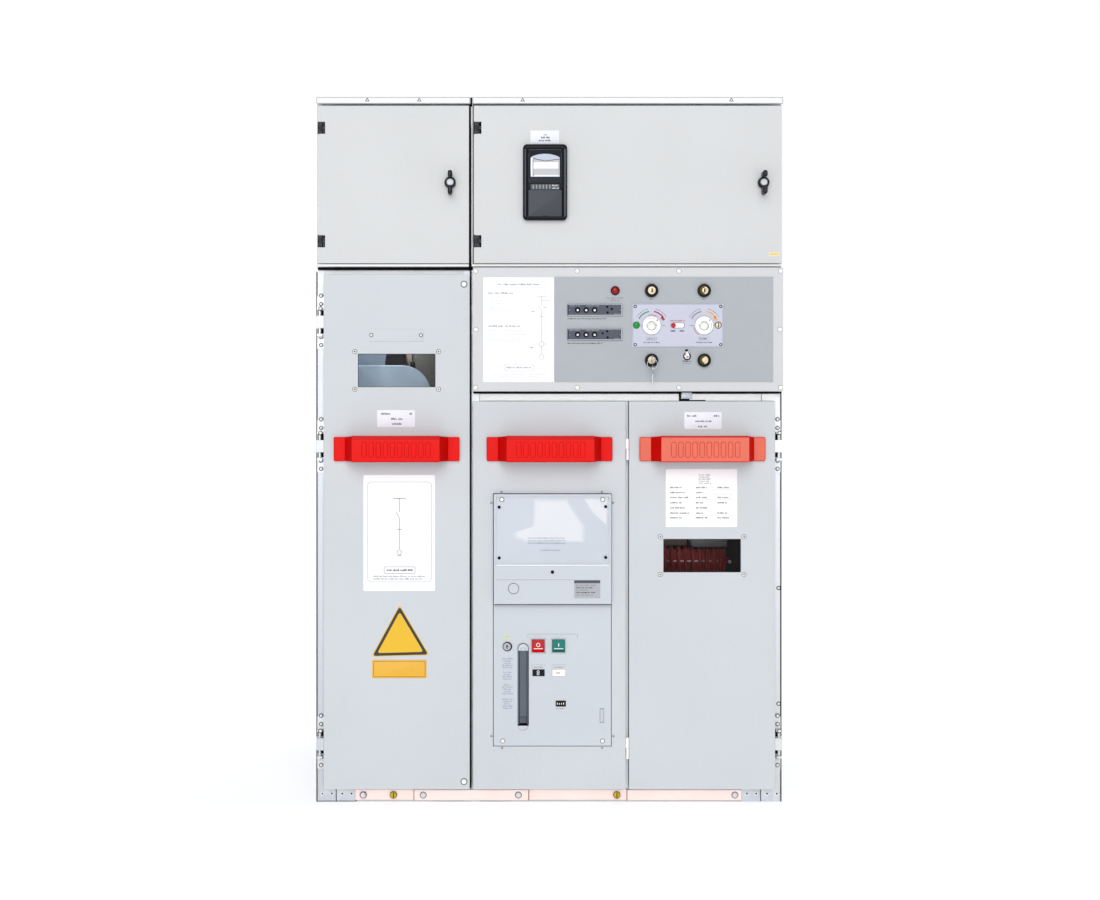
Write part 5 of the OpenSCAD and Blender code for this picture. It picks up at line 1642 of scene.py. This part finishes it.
@dataclass
class Doors:
    """The three outer doors with their hinges, handles, windows, labels and signs."""

    bolt_inset: float = 13.7

    def build(self) -> None:
        """Dresses the doors and builds what is on them."""
        for node in ("incomer_door", "breaker_door", "cable_door"):
            dress(node, DOOR_PAINT, 1.3, flats=node != "incomer_door")
        dress("incomer_knuckles", SHADED_LEFT_ZINC, 1)
        dress("cable_door_knuckles", RIGHT_ZINC, 1)
        dress("breaker_door_knuckles", RAIL_ZINC, 0.6)
        for door in ("incomer", "breaker", "cable"):
            # The cable door's handle takes the paler red of painted sheen and a narrower band of painted
            # shade.
            finish, band = (PAINTED_SHEEN_GRIP, 2.4) if door == "cable" else (RED_GRIP, 8.6)
            names = (door + "_handle", door + "_bridge_handle", door + "_leaf")
            BridgeHandle(*names, finish=finish, band=band).build()
        for door in ("incomer", "cable"):
            DoorWindow(door + "_window", door + "_window_fittings", door + "_leaf").build()
        self.incomer_bolts()
        self.incomer_sheets()
        self.warning_signs()
        self.cable_sheets()
        self.breaker_door_pins()

    def incomer_bolts(self) -> None:
        """The large bolts at the corners of the tall door and the small cover plate on it."""
        door = Box.of("incomer_door")
        piece = Piece("incomer_door_bolts", "incomer_leaf", door.front)
        x = door.x1 - self.bolt_inset
        for z in (door.z1 - 23.8, door.z0 + 19):
            BIG_BOLT.put(piece, x, z)
        piece.finish("zinc")
        cover = Piece("incomer_cover_plate", "incomer_leaf", door.front)
        cover.plate(DOOR_PAINT, (-434.4, -302.4), (1111.4, 1141), (-0.2, 0.9), 5, 0.3)
        # Painted shadow: a grey line along the plate's lower edge.
        shadow_line = [(-434, 1118), (-432, 1111.6), (-304, 1111.6), (-302.6, 1118)]
        cover.line(GREY_PLASTIC, shadow_line, 0.9)
        for x in (-428, -308.5):
            COVER_SCREW.put(cover, x, 1126.8, 0.9)
        cover.finish("door_paint")

    def label(self, sheet: Sheet, rows: tuple[Place, ...], seed: int = 0) -> None:
        """Prints the rows of a label, each given by its left end, right end and height."""
        for left, right, v in rows:
            sheet.piece.words(INK, (left, right), v, 4.6, int(v) + seed)
        sheet.piece.finish("door_paint")

    def incomer_sheets(self) -> None:
        """The label over the tall door's handle and the white diagram sheet under it."""
        face = Box.of("incomer_door").front
        label = Sheet("incomer_label", "incomer_leaf", (-414, -322.8), (906, 946.8), face, LABEL_WHITE)
        rows = (
            (-404.4, -380.4, 938), (-336, -329, 938), (-380.4, -351, 925.7), (-378, -354, 913.7)
        )
        self.label(label, rows)
        across, upward = (-446.9, -274.8), (512.4, 790.8)
        piece = Sheet("incomer_diagram", "incomer_leaf", across, upward, face, corner=3).piece
        piece.frame(BLUE_GREY_INK, (-436.8, -283), (534, 774), 1, 9)
        piece.line(INK, [(-375.6, 734.4), (-344.4, 734.4)], 1.3)
        x = -360.5
        for start, end in (
            ((x, 734), (x, 702)), ((-369, 702), (x, 688)),
            ((x, 688), (x, 612)), ((-366, 660), (-355, 660)),
        ):
            piece.line(INK, [start, end], 1.1)
        piece.arc(INK, x, 605, 5.5, (0, 359), 1)
        piece.line(INK, [(-366.5, 597), (-354.5, 597)], 1.1)
        piece.frame(INK, (-397.2, -322.8), (554.4, 570), 0.9, 2)
        piece.words(INK, (-391, -328), 562.2, 5, 61)
        piece.words(GREY_INK, (-423.6, -298.8), 547.4, 3.4, 62)
        piece.words(GREY_INK, (-423.6, -304), 541.2, 3.4, 63)
        piece.finish("door_paint")

    def warning_signs(self) -> None:
        """The plain yellow triangle and the amber plate under it, both left blank."""
        face = Box.of("incomer_door").front
        corners = [Vector((-428.0, 354.0)), Vector((-288.0, 357.6)), Vector((-360.0, 479.0))]
        middle = sum(corners, Vector((0, 0))) / 3
        piece = Piece("triangle_sign", "incomer_leaf", face)
        for finish, scale, w in ((YELLOW, 1, 0), (INK, 0.955, 0.35), (YELLOW, 0.79, 0.47)):
            outline = []
            for k, corner in enumerate(corners):
                here = middle + (corner - middle) * scale
                before = middle + (corners[k - 1] - middle) * scale
                after = middle + (corners[(k + 1) % 3] - middle) * scale
                into, out = (before - here).normalized(), (after - here).normalized()
                cut = 9 * scale
                first, last = here + into * cut, here + out * cut
                for step in range(6):
                    t = step / 5
                    bend = first * (1 - t) ** 2 + here * 2 * t * (1 - t) + last * t**2
                    outline.append(tuple(bend))
            piece.prism(finish, outline, w - 0.1, w + (PRINT if w else 0.35))
        piece.finish("door_paint")
        plate = Sheet("amber_plate", "incomer_leaf", (-426, -295.2), (302.4, 346.8), face, AMBER, 2.5)
        plate.piece.frame(INK, (-422.5, -298.7), (305.9, 343.3), 0.9, 1.5)
        plate.piece.finish("door_paint")

    def cable_sheets(self) -> None:
        """The label over the right door's handle and the data sheet under it."""
        face = Box.of("cable_door").front
        label = Sheet("cable_label", "cable_leaf", (324, 414), (901.2, 942), face, LABEL_WHITE)
        rows = ((331.2, 354, 933.1), (394.8, 409.2, 933.1), (350.4, 390, 920.4), (357.6, 381.6, 907.4))
        self.label(label, rows, 2)
        across, upward = (279.6, 451.2), (666, 805.2)
        piece = Sheet("cable_data_sheet", "cable_leaf", across, upward, face, corner=3).piece
        for k, v in enumerate((791, 786, 781, 776, 771)):
            piece.words(GREY_INK, (358.8, 390 - 5 * (k % 2)), v, 3, 70 + k)
        for k, v in enumerate((760.8, 748.8, 736.8, 724.3, 712.1, 699.6, 688.3)):
            piece.line(BLUE_GREY_INK, [(289, v - 5.5), (442, v - 5.5)], 0.5)
            piece.words(INK, (290.5, 318 + 9 * (k % 3)), v, 3.8, 80 + k)
            piece.words(INK, (352, 372 + 8 * ((k + 1) % 2)), v, 3.8, 90 + k)
            if k % 3 != 1:
                piece.words(INK, (404, 434 - 7 * (k % 2)), v, 3.8, 100 + k)
        piece.finish("door_paint")

    def breaker_door_pins(self) -> None:
        """The small buffers around the breaker's opening and the stops at the seam."""
        door = Box.of("breaker_door")
        case = Box.of("breaker_case")
        piece = Piece("breaker_door_buffers", "breaker_leaf", door.front)
        spots = (
            (case.x0 + 19, case.z1 + 5.4), (case.x1 - 22, case.z1 + 5.4),
            (case.x0 - 5.4, case.z1 - 21), (case.x1 + 5.4, case.z1 - 21),
            (case.x0 - 5.4, case.z0 + 23), (case.x1 + 5.4, case.z0 + 23),
            (case.x0 + 20, case.z0 - 5.4), (case.x1 - 21, case.z0 - 5.4),
        )
        for x, z in spots:
            piece.lathe(GREY_PLASTIC, x, z, [(2.7, -0.2), (2.7, 0.9), (2.1, 1.7), (1.2, 2)], 16)
        piece.finish("white_plastic")


@dataclass
class CircuitBreaker:
    """The front of the circuit breaker: cover and clear shield, key lock, charging lever,
    push buttons, indicators, counter and rating plate."""

    gap: float = 1.5

    def build(self) -> None:
        """Dresses the breaker's nodes and adds its details."""
        for node, finish, bevel in (
            ("breaker_case", BREAKER_PAINT, 1.2), ("breaker_cover", BREAKER_PAINT, 1.5),
            ("breaker_shield", SHIELD, 0.8), ("breaker_cradle", DARK_STEEL, 0.8),
            ("charging_lever", SLATE, 1.4), ("open_button", RED_PLASTIC, 0.9),
            ("close_button", GREEN_PLASTIC, 0.9),
        ):
            dress(node, finish, bevel)
        self.surround()
        self.shield_fittings()
        self.behind_shield()
        self.cover_details()
        self.front_fittings()
        self.front_print()
        self.button_marks()
        self.lever_slot()

    def surround(self) -> None:
        """The painted frame fixed round the breaker, which fills the door's cut-out."""
        case = Box.of("breaker_case")
        u, v = case.x, (case.z0 + case.z1) / 2
        half_u, half_v = (case.x1 - case.x0) / 2 + self.gap, (case.z1 - case.z0) / 2 + self.gap
        outline = rect((u - half_u, u + half_u), (v - half_v, v + half_v))
        piece = Piece("breaker_surround", w=Box.of("breaker_door").front - 0.25)
        profile = [(-7.2, -12), (-7.2, -0.4), (-6.8, 0), (-0.4, 0), (0, -0.4), (0, -12)]
        piece.rim(DOOR_PAINT, outline, profile)
        piece.finish("cabinet_sheet")

    def shield_fittings(self) -> None:
        """The screws and black studs of the clear shield, and its folded lower lip."""
        shield = Box.of("breaker_shield")
        piece = Piece("shield_fittings", w=shield.front)
        for x in (-114.7, 127):
            CASE_SCREW.put(piece, x, 732)
        for x, z in ((-121, 714), (134, 715.2), (-121, 592.3), (134, 593.5)):
            piece.lathe(BLACK_RUBBER_AND_SHADE, x, z, [(3.7, -0.2), (3.7, 0.8), (2.8, 1.3)], 16)
        lip = (shield.z0 - 1.4, shield.z0 + 1.6)
        piece.plate(WHITE_PLASTIC, (shield.x0 + 1, shield.x1 - 1), lip, (-2.6, 0.8), 0.8, 0.5)
        piece.finish("clear")

    def behind_shield(self) -> None:
        """The plate behind the shield, with a painted reflection in two patches, paler towards their middles,
        and faint lines.
        """
        cover = Box.of("breaker_cover")
        piece = Piece("shield_back_print", w=cover.front + 0.1)
        piece.plate(HAZE, (-127, 141), (577, 737), (-0.2, 0.4), 3, 0.1)
        piece.w += 0.4
        # Painted reflection: two bright patches, each laid in four paler steps, where the shield mirrors a
        # light.
        bright = [
            (-90, 640), (-60, 629), (85, 628), (86, 668),
            (42, 735), (-40, 735), (-42, 668), (-90, 652),
        ]
        corner = [(102, 700), (138, 668), (138, 735), (80, 735)]
        for step, colour in enumerate(("#c8ced7", "#ced3db", "#d5d9df", "#dcdfe4")):
            film = Printed(f"painted_reflection_{step}", colour, roughness=0.4)
            for patch, u, v in ((bright, 12, 672), (corner, 121, 712)):
                keep = 1 - 0.045 * step
                outline = [(u + (a - u) * keep, v + (b - v) * keep) for a, b in patch]
                piece.prism(film, outline, 0, PRINT * (step + 1))
        piece.w += PRINT * 4
        for v in (640, 634, 628):
            piece.words(BLUE_GREY_INK if v > 630 else GREY_INK, (-51.6, 39.6), v, 3.4, int(v))
        piece.words(BLUE_GREY_INK, (-22.8, 25.2), 611, 3.6, 5)
        piece.finish("breaker_plastic")

    def cover_details(self) -> None:
        """The step drawn as a line of painted shade under one of painted highlight, the round knock-out, the
        stud, a strip of painted shadow under the foot, and the rating plate.
        """
        cover = Box.of("breaker_cover")
        piece = Piece("cover_details", w=cover.front)
        # Painted shade and painted highlight: a grey line with a white line over it, where the cover steps.
        for ink, z, width in ((GREY_INK, 540.2, 1.1), (WHITE_INK, 541.2, 0.6)):
            piece.line(ink, [(-127.2, z), (58.8, z)], width)
        knock_out = round_points(-86.4, 518.9, 13.4, 36)
        piece.rim(INK, knock_out, [(0, -0.1), (0.1, 0.2), (1.3, 0.2), (1.4, -0.1)])
        piece.lathe(BLACK_RUBBER_AND_SHADE, 6.7, 558.2, [(4.2, -0.2), (4.2, 0.8), (3.2, 1.3)], 16)
        # Painted shadow: a dark strip under the cover's lower edge.
        foot = (cover.z0 - 1, cover.z0 + 0.9)
        piece.plate(BLACK_RUBBER_AND_SHADE, (cover.x0 + 1, cover.x1 - 1), foot, (-14, -0.4), 0.4, 0.3)
        piece.plate(RATING, (58.8, 121.2), (495.6, 538.8), (-0.1, 0.3), 1.5)
        piece.w += 0.3
        piece.print(INDICATOR, (58.8, 121.2), (531.6, 538.8))
        for k, v in enumerate((526.8, 521, 515.5, 509.5, 503.5)):
            piece.words(INK if k % 2 else GREY_INK, (63, 112 - 9 * (k % 3)), v, 3.2, 120 + k)
        piece.finish("breaker_plastic")

    def front_fittings(self) -> None:
        """The key lock, lower screws, position windows, counter and side slot."""
        case = Box.of("breaker_case")
        piece = Piece("breaker_fittings", w=case.front)
        x, z = -101.5, 378.5
        piece.lathe(BLACK_RUBBER_AND_SHADE, x + 0.5, z, [(11.4, -0.3), (11.4, 1), (10.6, 3), (9.2, 3.4)], 36)
        piece.lathe(RATING, x - 0.4, z, [(9, 1.5), (9, 3.6), (8.2, 4)], 32)
        piece.lathe(BLACK_RUBBER_AND_SHADE, x - 0.4, z + 1.6, [(2.2, 3.6), (2.2, 4.1)], 16)
        piece.plate(BLACK_RUBBER_AND_SHADE, (x - 1.5, x + 0.7), (z - 5, z + 1), (3.6, 4.1), 0.6)
        for u in (-112, 127.7):
            CASE_SCREW.put(piece, u, 151.5)
        windows = (
            ((-40.4, -11.8), (307.6, 323.4), BLACK, WHITE_INK),
            ((7, 38.6), (307.6, 323.4), WHITE_PLASTIC, GREY_INK),
            ((15.4, 39.2), (234.6, 248.4), BLACK, WHITE_INK),
        )
        for n, (u, v, finish, mark) in enumerate(windows):
            across, upward = (u[0] - 0.9, u[1] + 0.9), (v[0] - 0.9, v[1] + 0.9)
            piece.plate(GREY_PLASTIC, across, upward, (-0.3, 0.6), 1.2, 0.3)
            piece.plate(finish, u, v, (0.2, 1), 0.8)
            middle, level = sum(u) / 2, sum(v) / 2
            piece.w += 1
            if n == 2:
                for k in range(4):
                    piece.words(mark, (u[0] + 3 + 4.9 * k, u[0] + 6 + 4.9 * k), level, 4.6, 300 + k)
            elif n:
                piece.words(INK, (middle - 6, middle + 3), level, 3.4, 304)
            else:
                for rise in (-2.6, 2.6):
                    piece.arc(mark, middle - 1, level + rise, 2.5, (0, 359), 1.3)
            piece.w = case.front
        for inset in (0, 2.8):
            outline = shrunk(rounded(121.2, 194.8, 131, 230, 1.6), inset)
            piece.rim(INDICATOR, outline, [(0, -0.2), (0.1, 0.3), (0.8, 0.3), (0.9, -0.2)])
        for node in ("open_button", "close_button"):
            box = Box.of(node)
            outline = rounded(box.x0 - 0.7, box.z0 - 0.7, box.x1 + 0.7, box.z1 + 0.7, 1.2)
            piece.rim(BREAKER_PAINT, outline, [(-2.2, -3), (-2.2, 0.1), (0, 0.1), (0, -3)])
        piece.finish("breaker_plastic")

    def front_print(self) -> None:
        """Frame lines, tiny labels and rows of small print on the case."""
        case = Box.of("breaker_case")
        piece = Piece("breaker_print", w=case.front)
        piece.line(GREY_INK, [(-51.6, 401), (-51.6, 408.5), (67.7, 408.5), (67.7, 398)], 0.7)
        piece.line(FAINT_INK, [(62.4, 372), (62.4, 364.8), (52, 364.8)], 0.9)
        piece.print(LIME, (-112.5, -92), (400.7, 402.3))
        piece.lathe(LIME, -102, 401.5, [(3.4, -0.2), (3.4, 0.12), (3.2, 0.16)], 20)
        lever = Box.of("charging_lever")
        piece.arc(GREY_INK, lever.x, 190, 12.8, (182, 358), 0.9)
        for x in (-26, 22.2):
            piece.words(GREY_INK, (x - 11, x + 11), 329, 2.8, int(x) + 200)
            piece.line(GREY_INK, [(x - 16, 326), (x - 16, 334.5), (x + 16, 334.5), (x + 16, 330)], 0.5)
        piece.words(GREY_INK, (17, 38), 229.5, 2.8, 210)
        for n, (low, high) in enumerate(((324, 351.6), (294, 319.2), (259.2, 289.2), (225.6, 254.4))):
            v = high - 2.2
            k = 0
            while v > low + 1.5:
                reach = 13 - 2.2 * ((k + n) % 3)
                piece.words(BLUE_GREY_INK, (-100.6 - reach, -100.6 + reach), v, 3.9, 220 + n * 10 + k)
                v -= 5.4
                k += 1
        piece.finish("breaker_plastic")

    def button_marks(self) -> None:
        """The shaded lower band, ring or bar, and thin line that are on the push buttons."""
        for act in ("open", "close"):
            box = Box.of(act + "_button")
            x, z = box.x, box.z
            piece = Piece(act + "_mark", act + "_key", box.front)
            shade = RED_PAINTED_SHADE if act == "open" else DEEP_GREEN
            piece.plate(shade, (box.x0 + 1.2, box.x1 - 1.2), (box.z0 + 1, box.z0 + 6.6), (-0.5, 0.05), 1)
            if act == "open":
                ring = [(0, -0.05), (0.1, PRINT), (1.5, PRINT), (1.6, -0.05)]
                piece.rim(WHITE_INK, round_points(x, z + 2.8, 4.9, 28), ring)
            else:
                piece.print(WHITE_INK, (x - 1, x + 1), (z - 1, z + 7))
            piece.print(WHITE_INK, (x - 11, x + 11), (z - 6.9, z - 5.2), 0.3)
            piece.finish()

    def lever_slot(self) -> None:
        """The slate lining beside the charging lever, its pale end cap, and painted shade beside it and
        across its foot.
        """
        lever, case = Box.of("charging_lever"), Box.of("breaker_case")
        lining = Piece("charging_slot_lining", w=case.front)
        for u in ((lever.x0 - 4.6, lever.x0 - 0.8), (lever.x1 + 0.8, lever.x1 + 3.2)):
            lining.plate(SLATE, u, (191.5, 368), (-12, 0.6), 0.6, 0.4)
        # Painted shade: a dark strip in the gap at the lever's right.
        lining.plate(BLACK_RUBBER_AND_SHADE, (lever.x1 + 3.2, lever.x1 + 4.6), (191.5, 368), (-12, 0.5), 0.3, 0.2)
        turns = (math.pi * (1 + k / 16) for k in range(17))  # the lower half of an ellipse
        low = [(lever.x + 12.6 * math.cos(a), 188 + 10 * math.sin(a)) for a in turns]
        lining.prism(BREAKER_PAINT, low, -1.4, -0.4, 0.2)
        lining.finish("breaker_plastic")
        piece = Piece("lever_edges", "charging_handle", lever.front)
        cap = curve(lever.x, 373.4, 12.4, 0, 180, 16)
        cap += [(lever.x - 12.4, 368.4), (lever.x + 12.4, 368.4)]
        piece.prism(GREY_PLASTIC, cap, -6, 0.2, 0.3)
        piece.prism(BREAKER_PAINT, shrunk(cap, 1), -4, 0.5, 0.2)
        piece.w += 0.5
        piece.arc(GREY_INK, lever.x, 369.4, 6.4, (8, 172), 0.8)
        piece.w = lever.front
        # Painted shade: a darker plate and a black line across the lever's foot.
        for finish, inset, low, high, rise in ((INDICATOR, 0.8, 0.4, 17, 0.1), (BLACK_RUBBER_AND_SHADE, 0.4, 0.2, 3.4, 0.14)):
            across, upward = (lever.x0 + inset, lever.x1 - inset), (lever.z0 + low, lever.z0 + high)
            piece.plate(finish, across, upward, (-3, rise), 0.4, 0.2)
        piece.finish("lever_grey")


@dataclass
class Interior:
    """What shows through the windows: the switch housing and what stands round it on the left,
    the ribbed insulator and its bushing on the right."""

    def build(self) -> None:
        """Dresses the inner nodes and adds the blocks and plates around them."""
        dress("switch_housing", HOUSING, 3)
        dress("switch_actuator", BLACK, 2)
        dress("post_insulator", RED_RESIN, 2.2)
        dress("cable_bushing", GREY_RESIN, 1)
        self.switch_mounting()
        self.insulator_end()

    def switch_mounting(self) -> None:
        """What stands on and behind the housing: a black block, a pressboard strip, dark plates."""
        housing = Box.of("switch_housing")
        piece = Piece("switch_mounting")
        top = housing.z1
        front = housing.front
        block = [(-404, top - 2), (-356, top - 2), (-365, top + 27), (-393, top + 27)]
        piece.prism(BLACK_RUBBER_AND_SHADE, block, front - 160, front - 60)
        piece.plate(BEIGE_STRIP, (-362, -341), (top - 4, 1246), (front - 175, front - 165), 1.5, 1)
        piece.plate(BLACK_RUBBER_AND_SHADE, (-342, -331), (top - 4, top + 12), (front - 120, front - 60), 1.5, 1)
        piece.plate(OLIVE, (-346, -196), (700, 1246), (front - 185, front - 181), 2, 0.8)
        piece.plate(HOUSING, (-558, -362), (top - 40, 1246), (front - 240, front - 236), 2, 0.8)
        piece.finish("housing_resin")

    def insulator_end(self) -> None:
        """A dark board behind the insulator as painted shade, the plate and cap on it, its ribs, a row of
        painted highlights and its stud.
        """
        box = Box.of("post_insulator")
        w = box.front
        piece = Piece("insulator_surround")
        # Painted shade: a dark board that darkens the compartment behind the insulator.
        piece.plate(SHADE_BOARD, (195, 552), (500, 720), (95, 98), 2, 0.5)
        piece.plate(BROWN, (290, 352), (box.z1 + 2, box.z1 + 20), (w - 40, w - 20), 2, 1.5)
        piece.plate(GREY_RESIN, (360, 452), (box.z1 - 3, box.z1 + 22), (w - 60, w - 8), 9, 4)
        for k in range(22):
            u = 290 + 7.2 * k
            piece.plate(RED_RESIN, (u, u + 2), (box.z0 + 6, box.z1 - 6), (w - 6, w + 0.9), 0.8, 0.4)
        # Painted highlights: a row of pale dashes across the ribs, where they catch the light.
        for k, half in enumerate((2.5, 3.8, 4.4, 4.6, 4.4, 4, 3, 2)):
            u = 302 + 17.65 * k
            ink = WHITE_PLASTIC if 0 < k < 5 else BEIGE_STRIP
            piece.plate(ink, (u - half, u + half), (574, 575.8), (w - 1, w + 1.6), 0.7, 0.3)
        piece.lathe(STEEL_KEY, 457, 572.5, [(4.6, w - 12), (4.6, w - 2), (3, w - 0.5)], 20)
        piece.finish("insulator_resin")


@dataclass
class Studio:
    """A pale floor, pale surroundings, soft lamps and the camera."""

    camera_x: float = -184.0
    camera_z: float = 829.0
    distance: float = 4400.0
    view_width: float = 2640.0
    centre_x: float = 1.2
    centre_z: float = 850.8

    def build(self) -> None:
        """Sets the stage around the object."""
        self.floor()
        self.surroundings()
        self.lamps()
        self.camera()
        view = bpy.context.scene.view_settings
        view.view_transform = "Standard"
        view.look = "None"
        view.exposure = 0
        view.gamma = 1

    def floor(self) -> None:
        """A wide pale floor."""
        mesh = bmesh.new()
        bmesh.ops.create_grid(mesh, x_segments=8, y_segments=8, size=150)
        data = bpy.data.meshes.new("floor")
        mesh.to_mesh(data)
        mesh.free()
        made = bpy.data.objects.new("floor", data)
        bpy.context.scene.collection.objects.link(made)
        data.materials.append(LitPaper("studio_floor_paper", "#f2f2f2", roughness=0.9).material())

    def surroundings(self) -> None:
        """Pale light from all round."""
        world = bpy.data.worlds.new("studio")
        bpy.context.scene.world = world
        world.use_nodes = True
        tree = world.node_tree
        shown = tree.nodes["Background"]
        shown.inputs["Color"].default_value = linear("#ffffff")
        shown.inputs["Strength"].default_value = 1
        lit = add(tree, "Background", {"Color": linear("#f2f6fb"), "Strength": 0.38})
        seen = add(tree, "LightPath").outputs["Is Camera Ray"]
        both = add(tree, "MixShader", {}, {0: seen, 1: lit.outputs[0], 2: shown.outputs[0]})
        tree.links.new(both.outputs[0], tree.nodes["World Output"].inputs[0])

    def aimed(self, light: bpy.types.Light, aim: Place) -> bpy.types.Object:
        """Adds a light's object, turned so that its light travels this way."""
        made = bpy.data.objects.new(light.name, light)
        made.rotation_euler = Vector(aim).to_track_quat("-Z", "Y").to_euler()
        bpy.context.scene.collection.objects.link(made)
        return made

    def sun(self, name: str, aim: Place, spread: float, strength: float, colour: str) -> None:
        """Lights everything evenly along aim, from a source this many degrees wide."""
        light = bpy.data.lights.new(name, "SUN")
        light.angle = math.radians(spread)
        light.energy = strength
        light.color = linear(colour)[:3]
        self.aimed(light, aim)

    def work_light(self, name: str, place: Place, aim: Place, size: float, power: float) -> None:
        """A small soft lamp inside a compartment, so that its window isn't black: in mm and W."""
        light = bpy.data.lights.new(name, "AREA")
        light.size = size * MM
        light.energy = power
        self.aimed(light, aim).location = (place[0] * MM, -place[2] * MM, place[1] * MM)

    def lamps(self) -> None:
        """A wide soft light from over the camera, a weaker one from behind, and two work lights."""
        for side, node, power in (("left", "incomer_window", 0.6), ("right", "cable_window", 0.16)):
            pane = Box.of(node)
            place = (pane.x - 20, pane.z1 + 120, pane.back - 70)
            self.work_light(side + "_work_light", place, (0, 0.75, -0.65), 60, power)
        self.sun("front_light", (0.1, 0.92, -0.38), 50, 1.75, "#fffdfa")
        self.sun("rear_light", (-0.2, -0.6, -0.75), 90, 0.8, "#f6faff")

    def camera(self) -> None:
        """Sets the camera square to the front, left of the middle, with a small shift."""
        data = bpy.data.cameras.new("camera")
        data.sensor_width = 36
        data.lens = 36 * self.distance / self.view_width
        data.shift_x = (self.centre_x - self.camera_x) / self.view_width
        data.shift_y = (self.centre_z - self.camera_z) / self.view_width
        data.dof.use_dof = False
        made = bpy.data.objects.new("camera", data)
        front = Box.of("operating_panel").front
        made.location = (self.camera_x * MM, -(front + self.distance) * MM, self.camera_z * MM)
        made.rotation_euler = (math.radians(90), 0, 0)
        bpy.context.scene.collection.objects.link(made)
        bpy.context.scene.camera = made


def main() -> None:
    """Builds the sub-assemblies in order, then the studio."""
    logging.basicConfig(level=logging.INFO, format="%(message)s")
    for kind in (Cabinets, EarthBar, LowVoltageBoxes, OperatingPanel, Doors, CircuitBreaker, Interior):
        kind().build()
        LOG.info("%s is built", kind.__name__)
    Studio().build()
    bpy.context.view_layer.update()


if __name__ == "__main__":
    main()
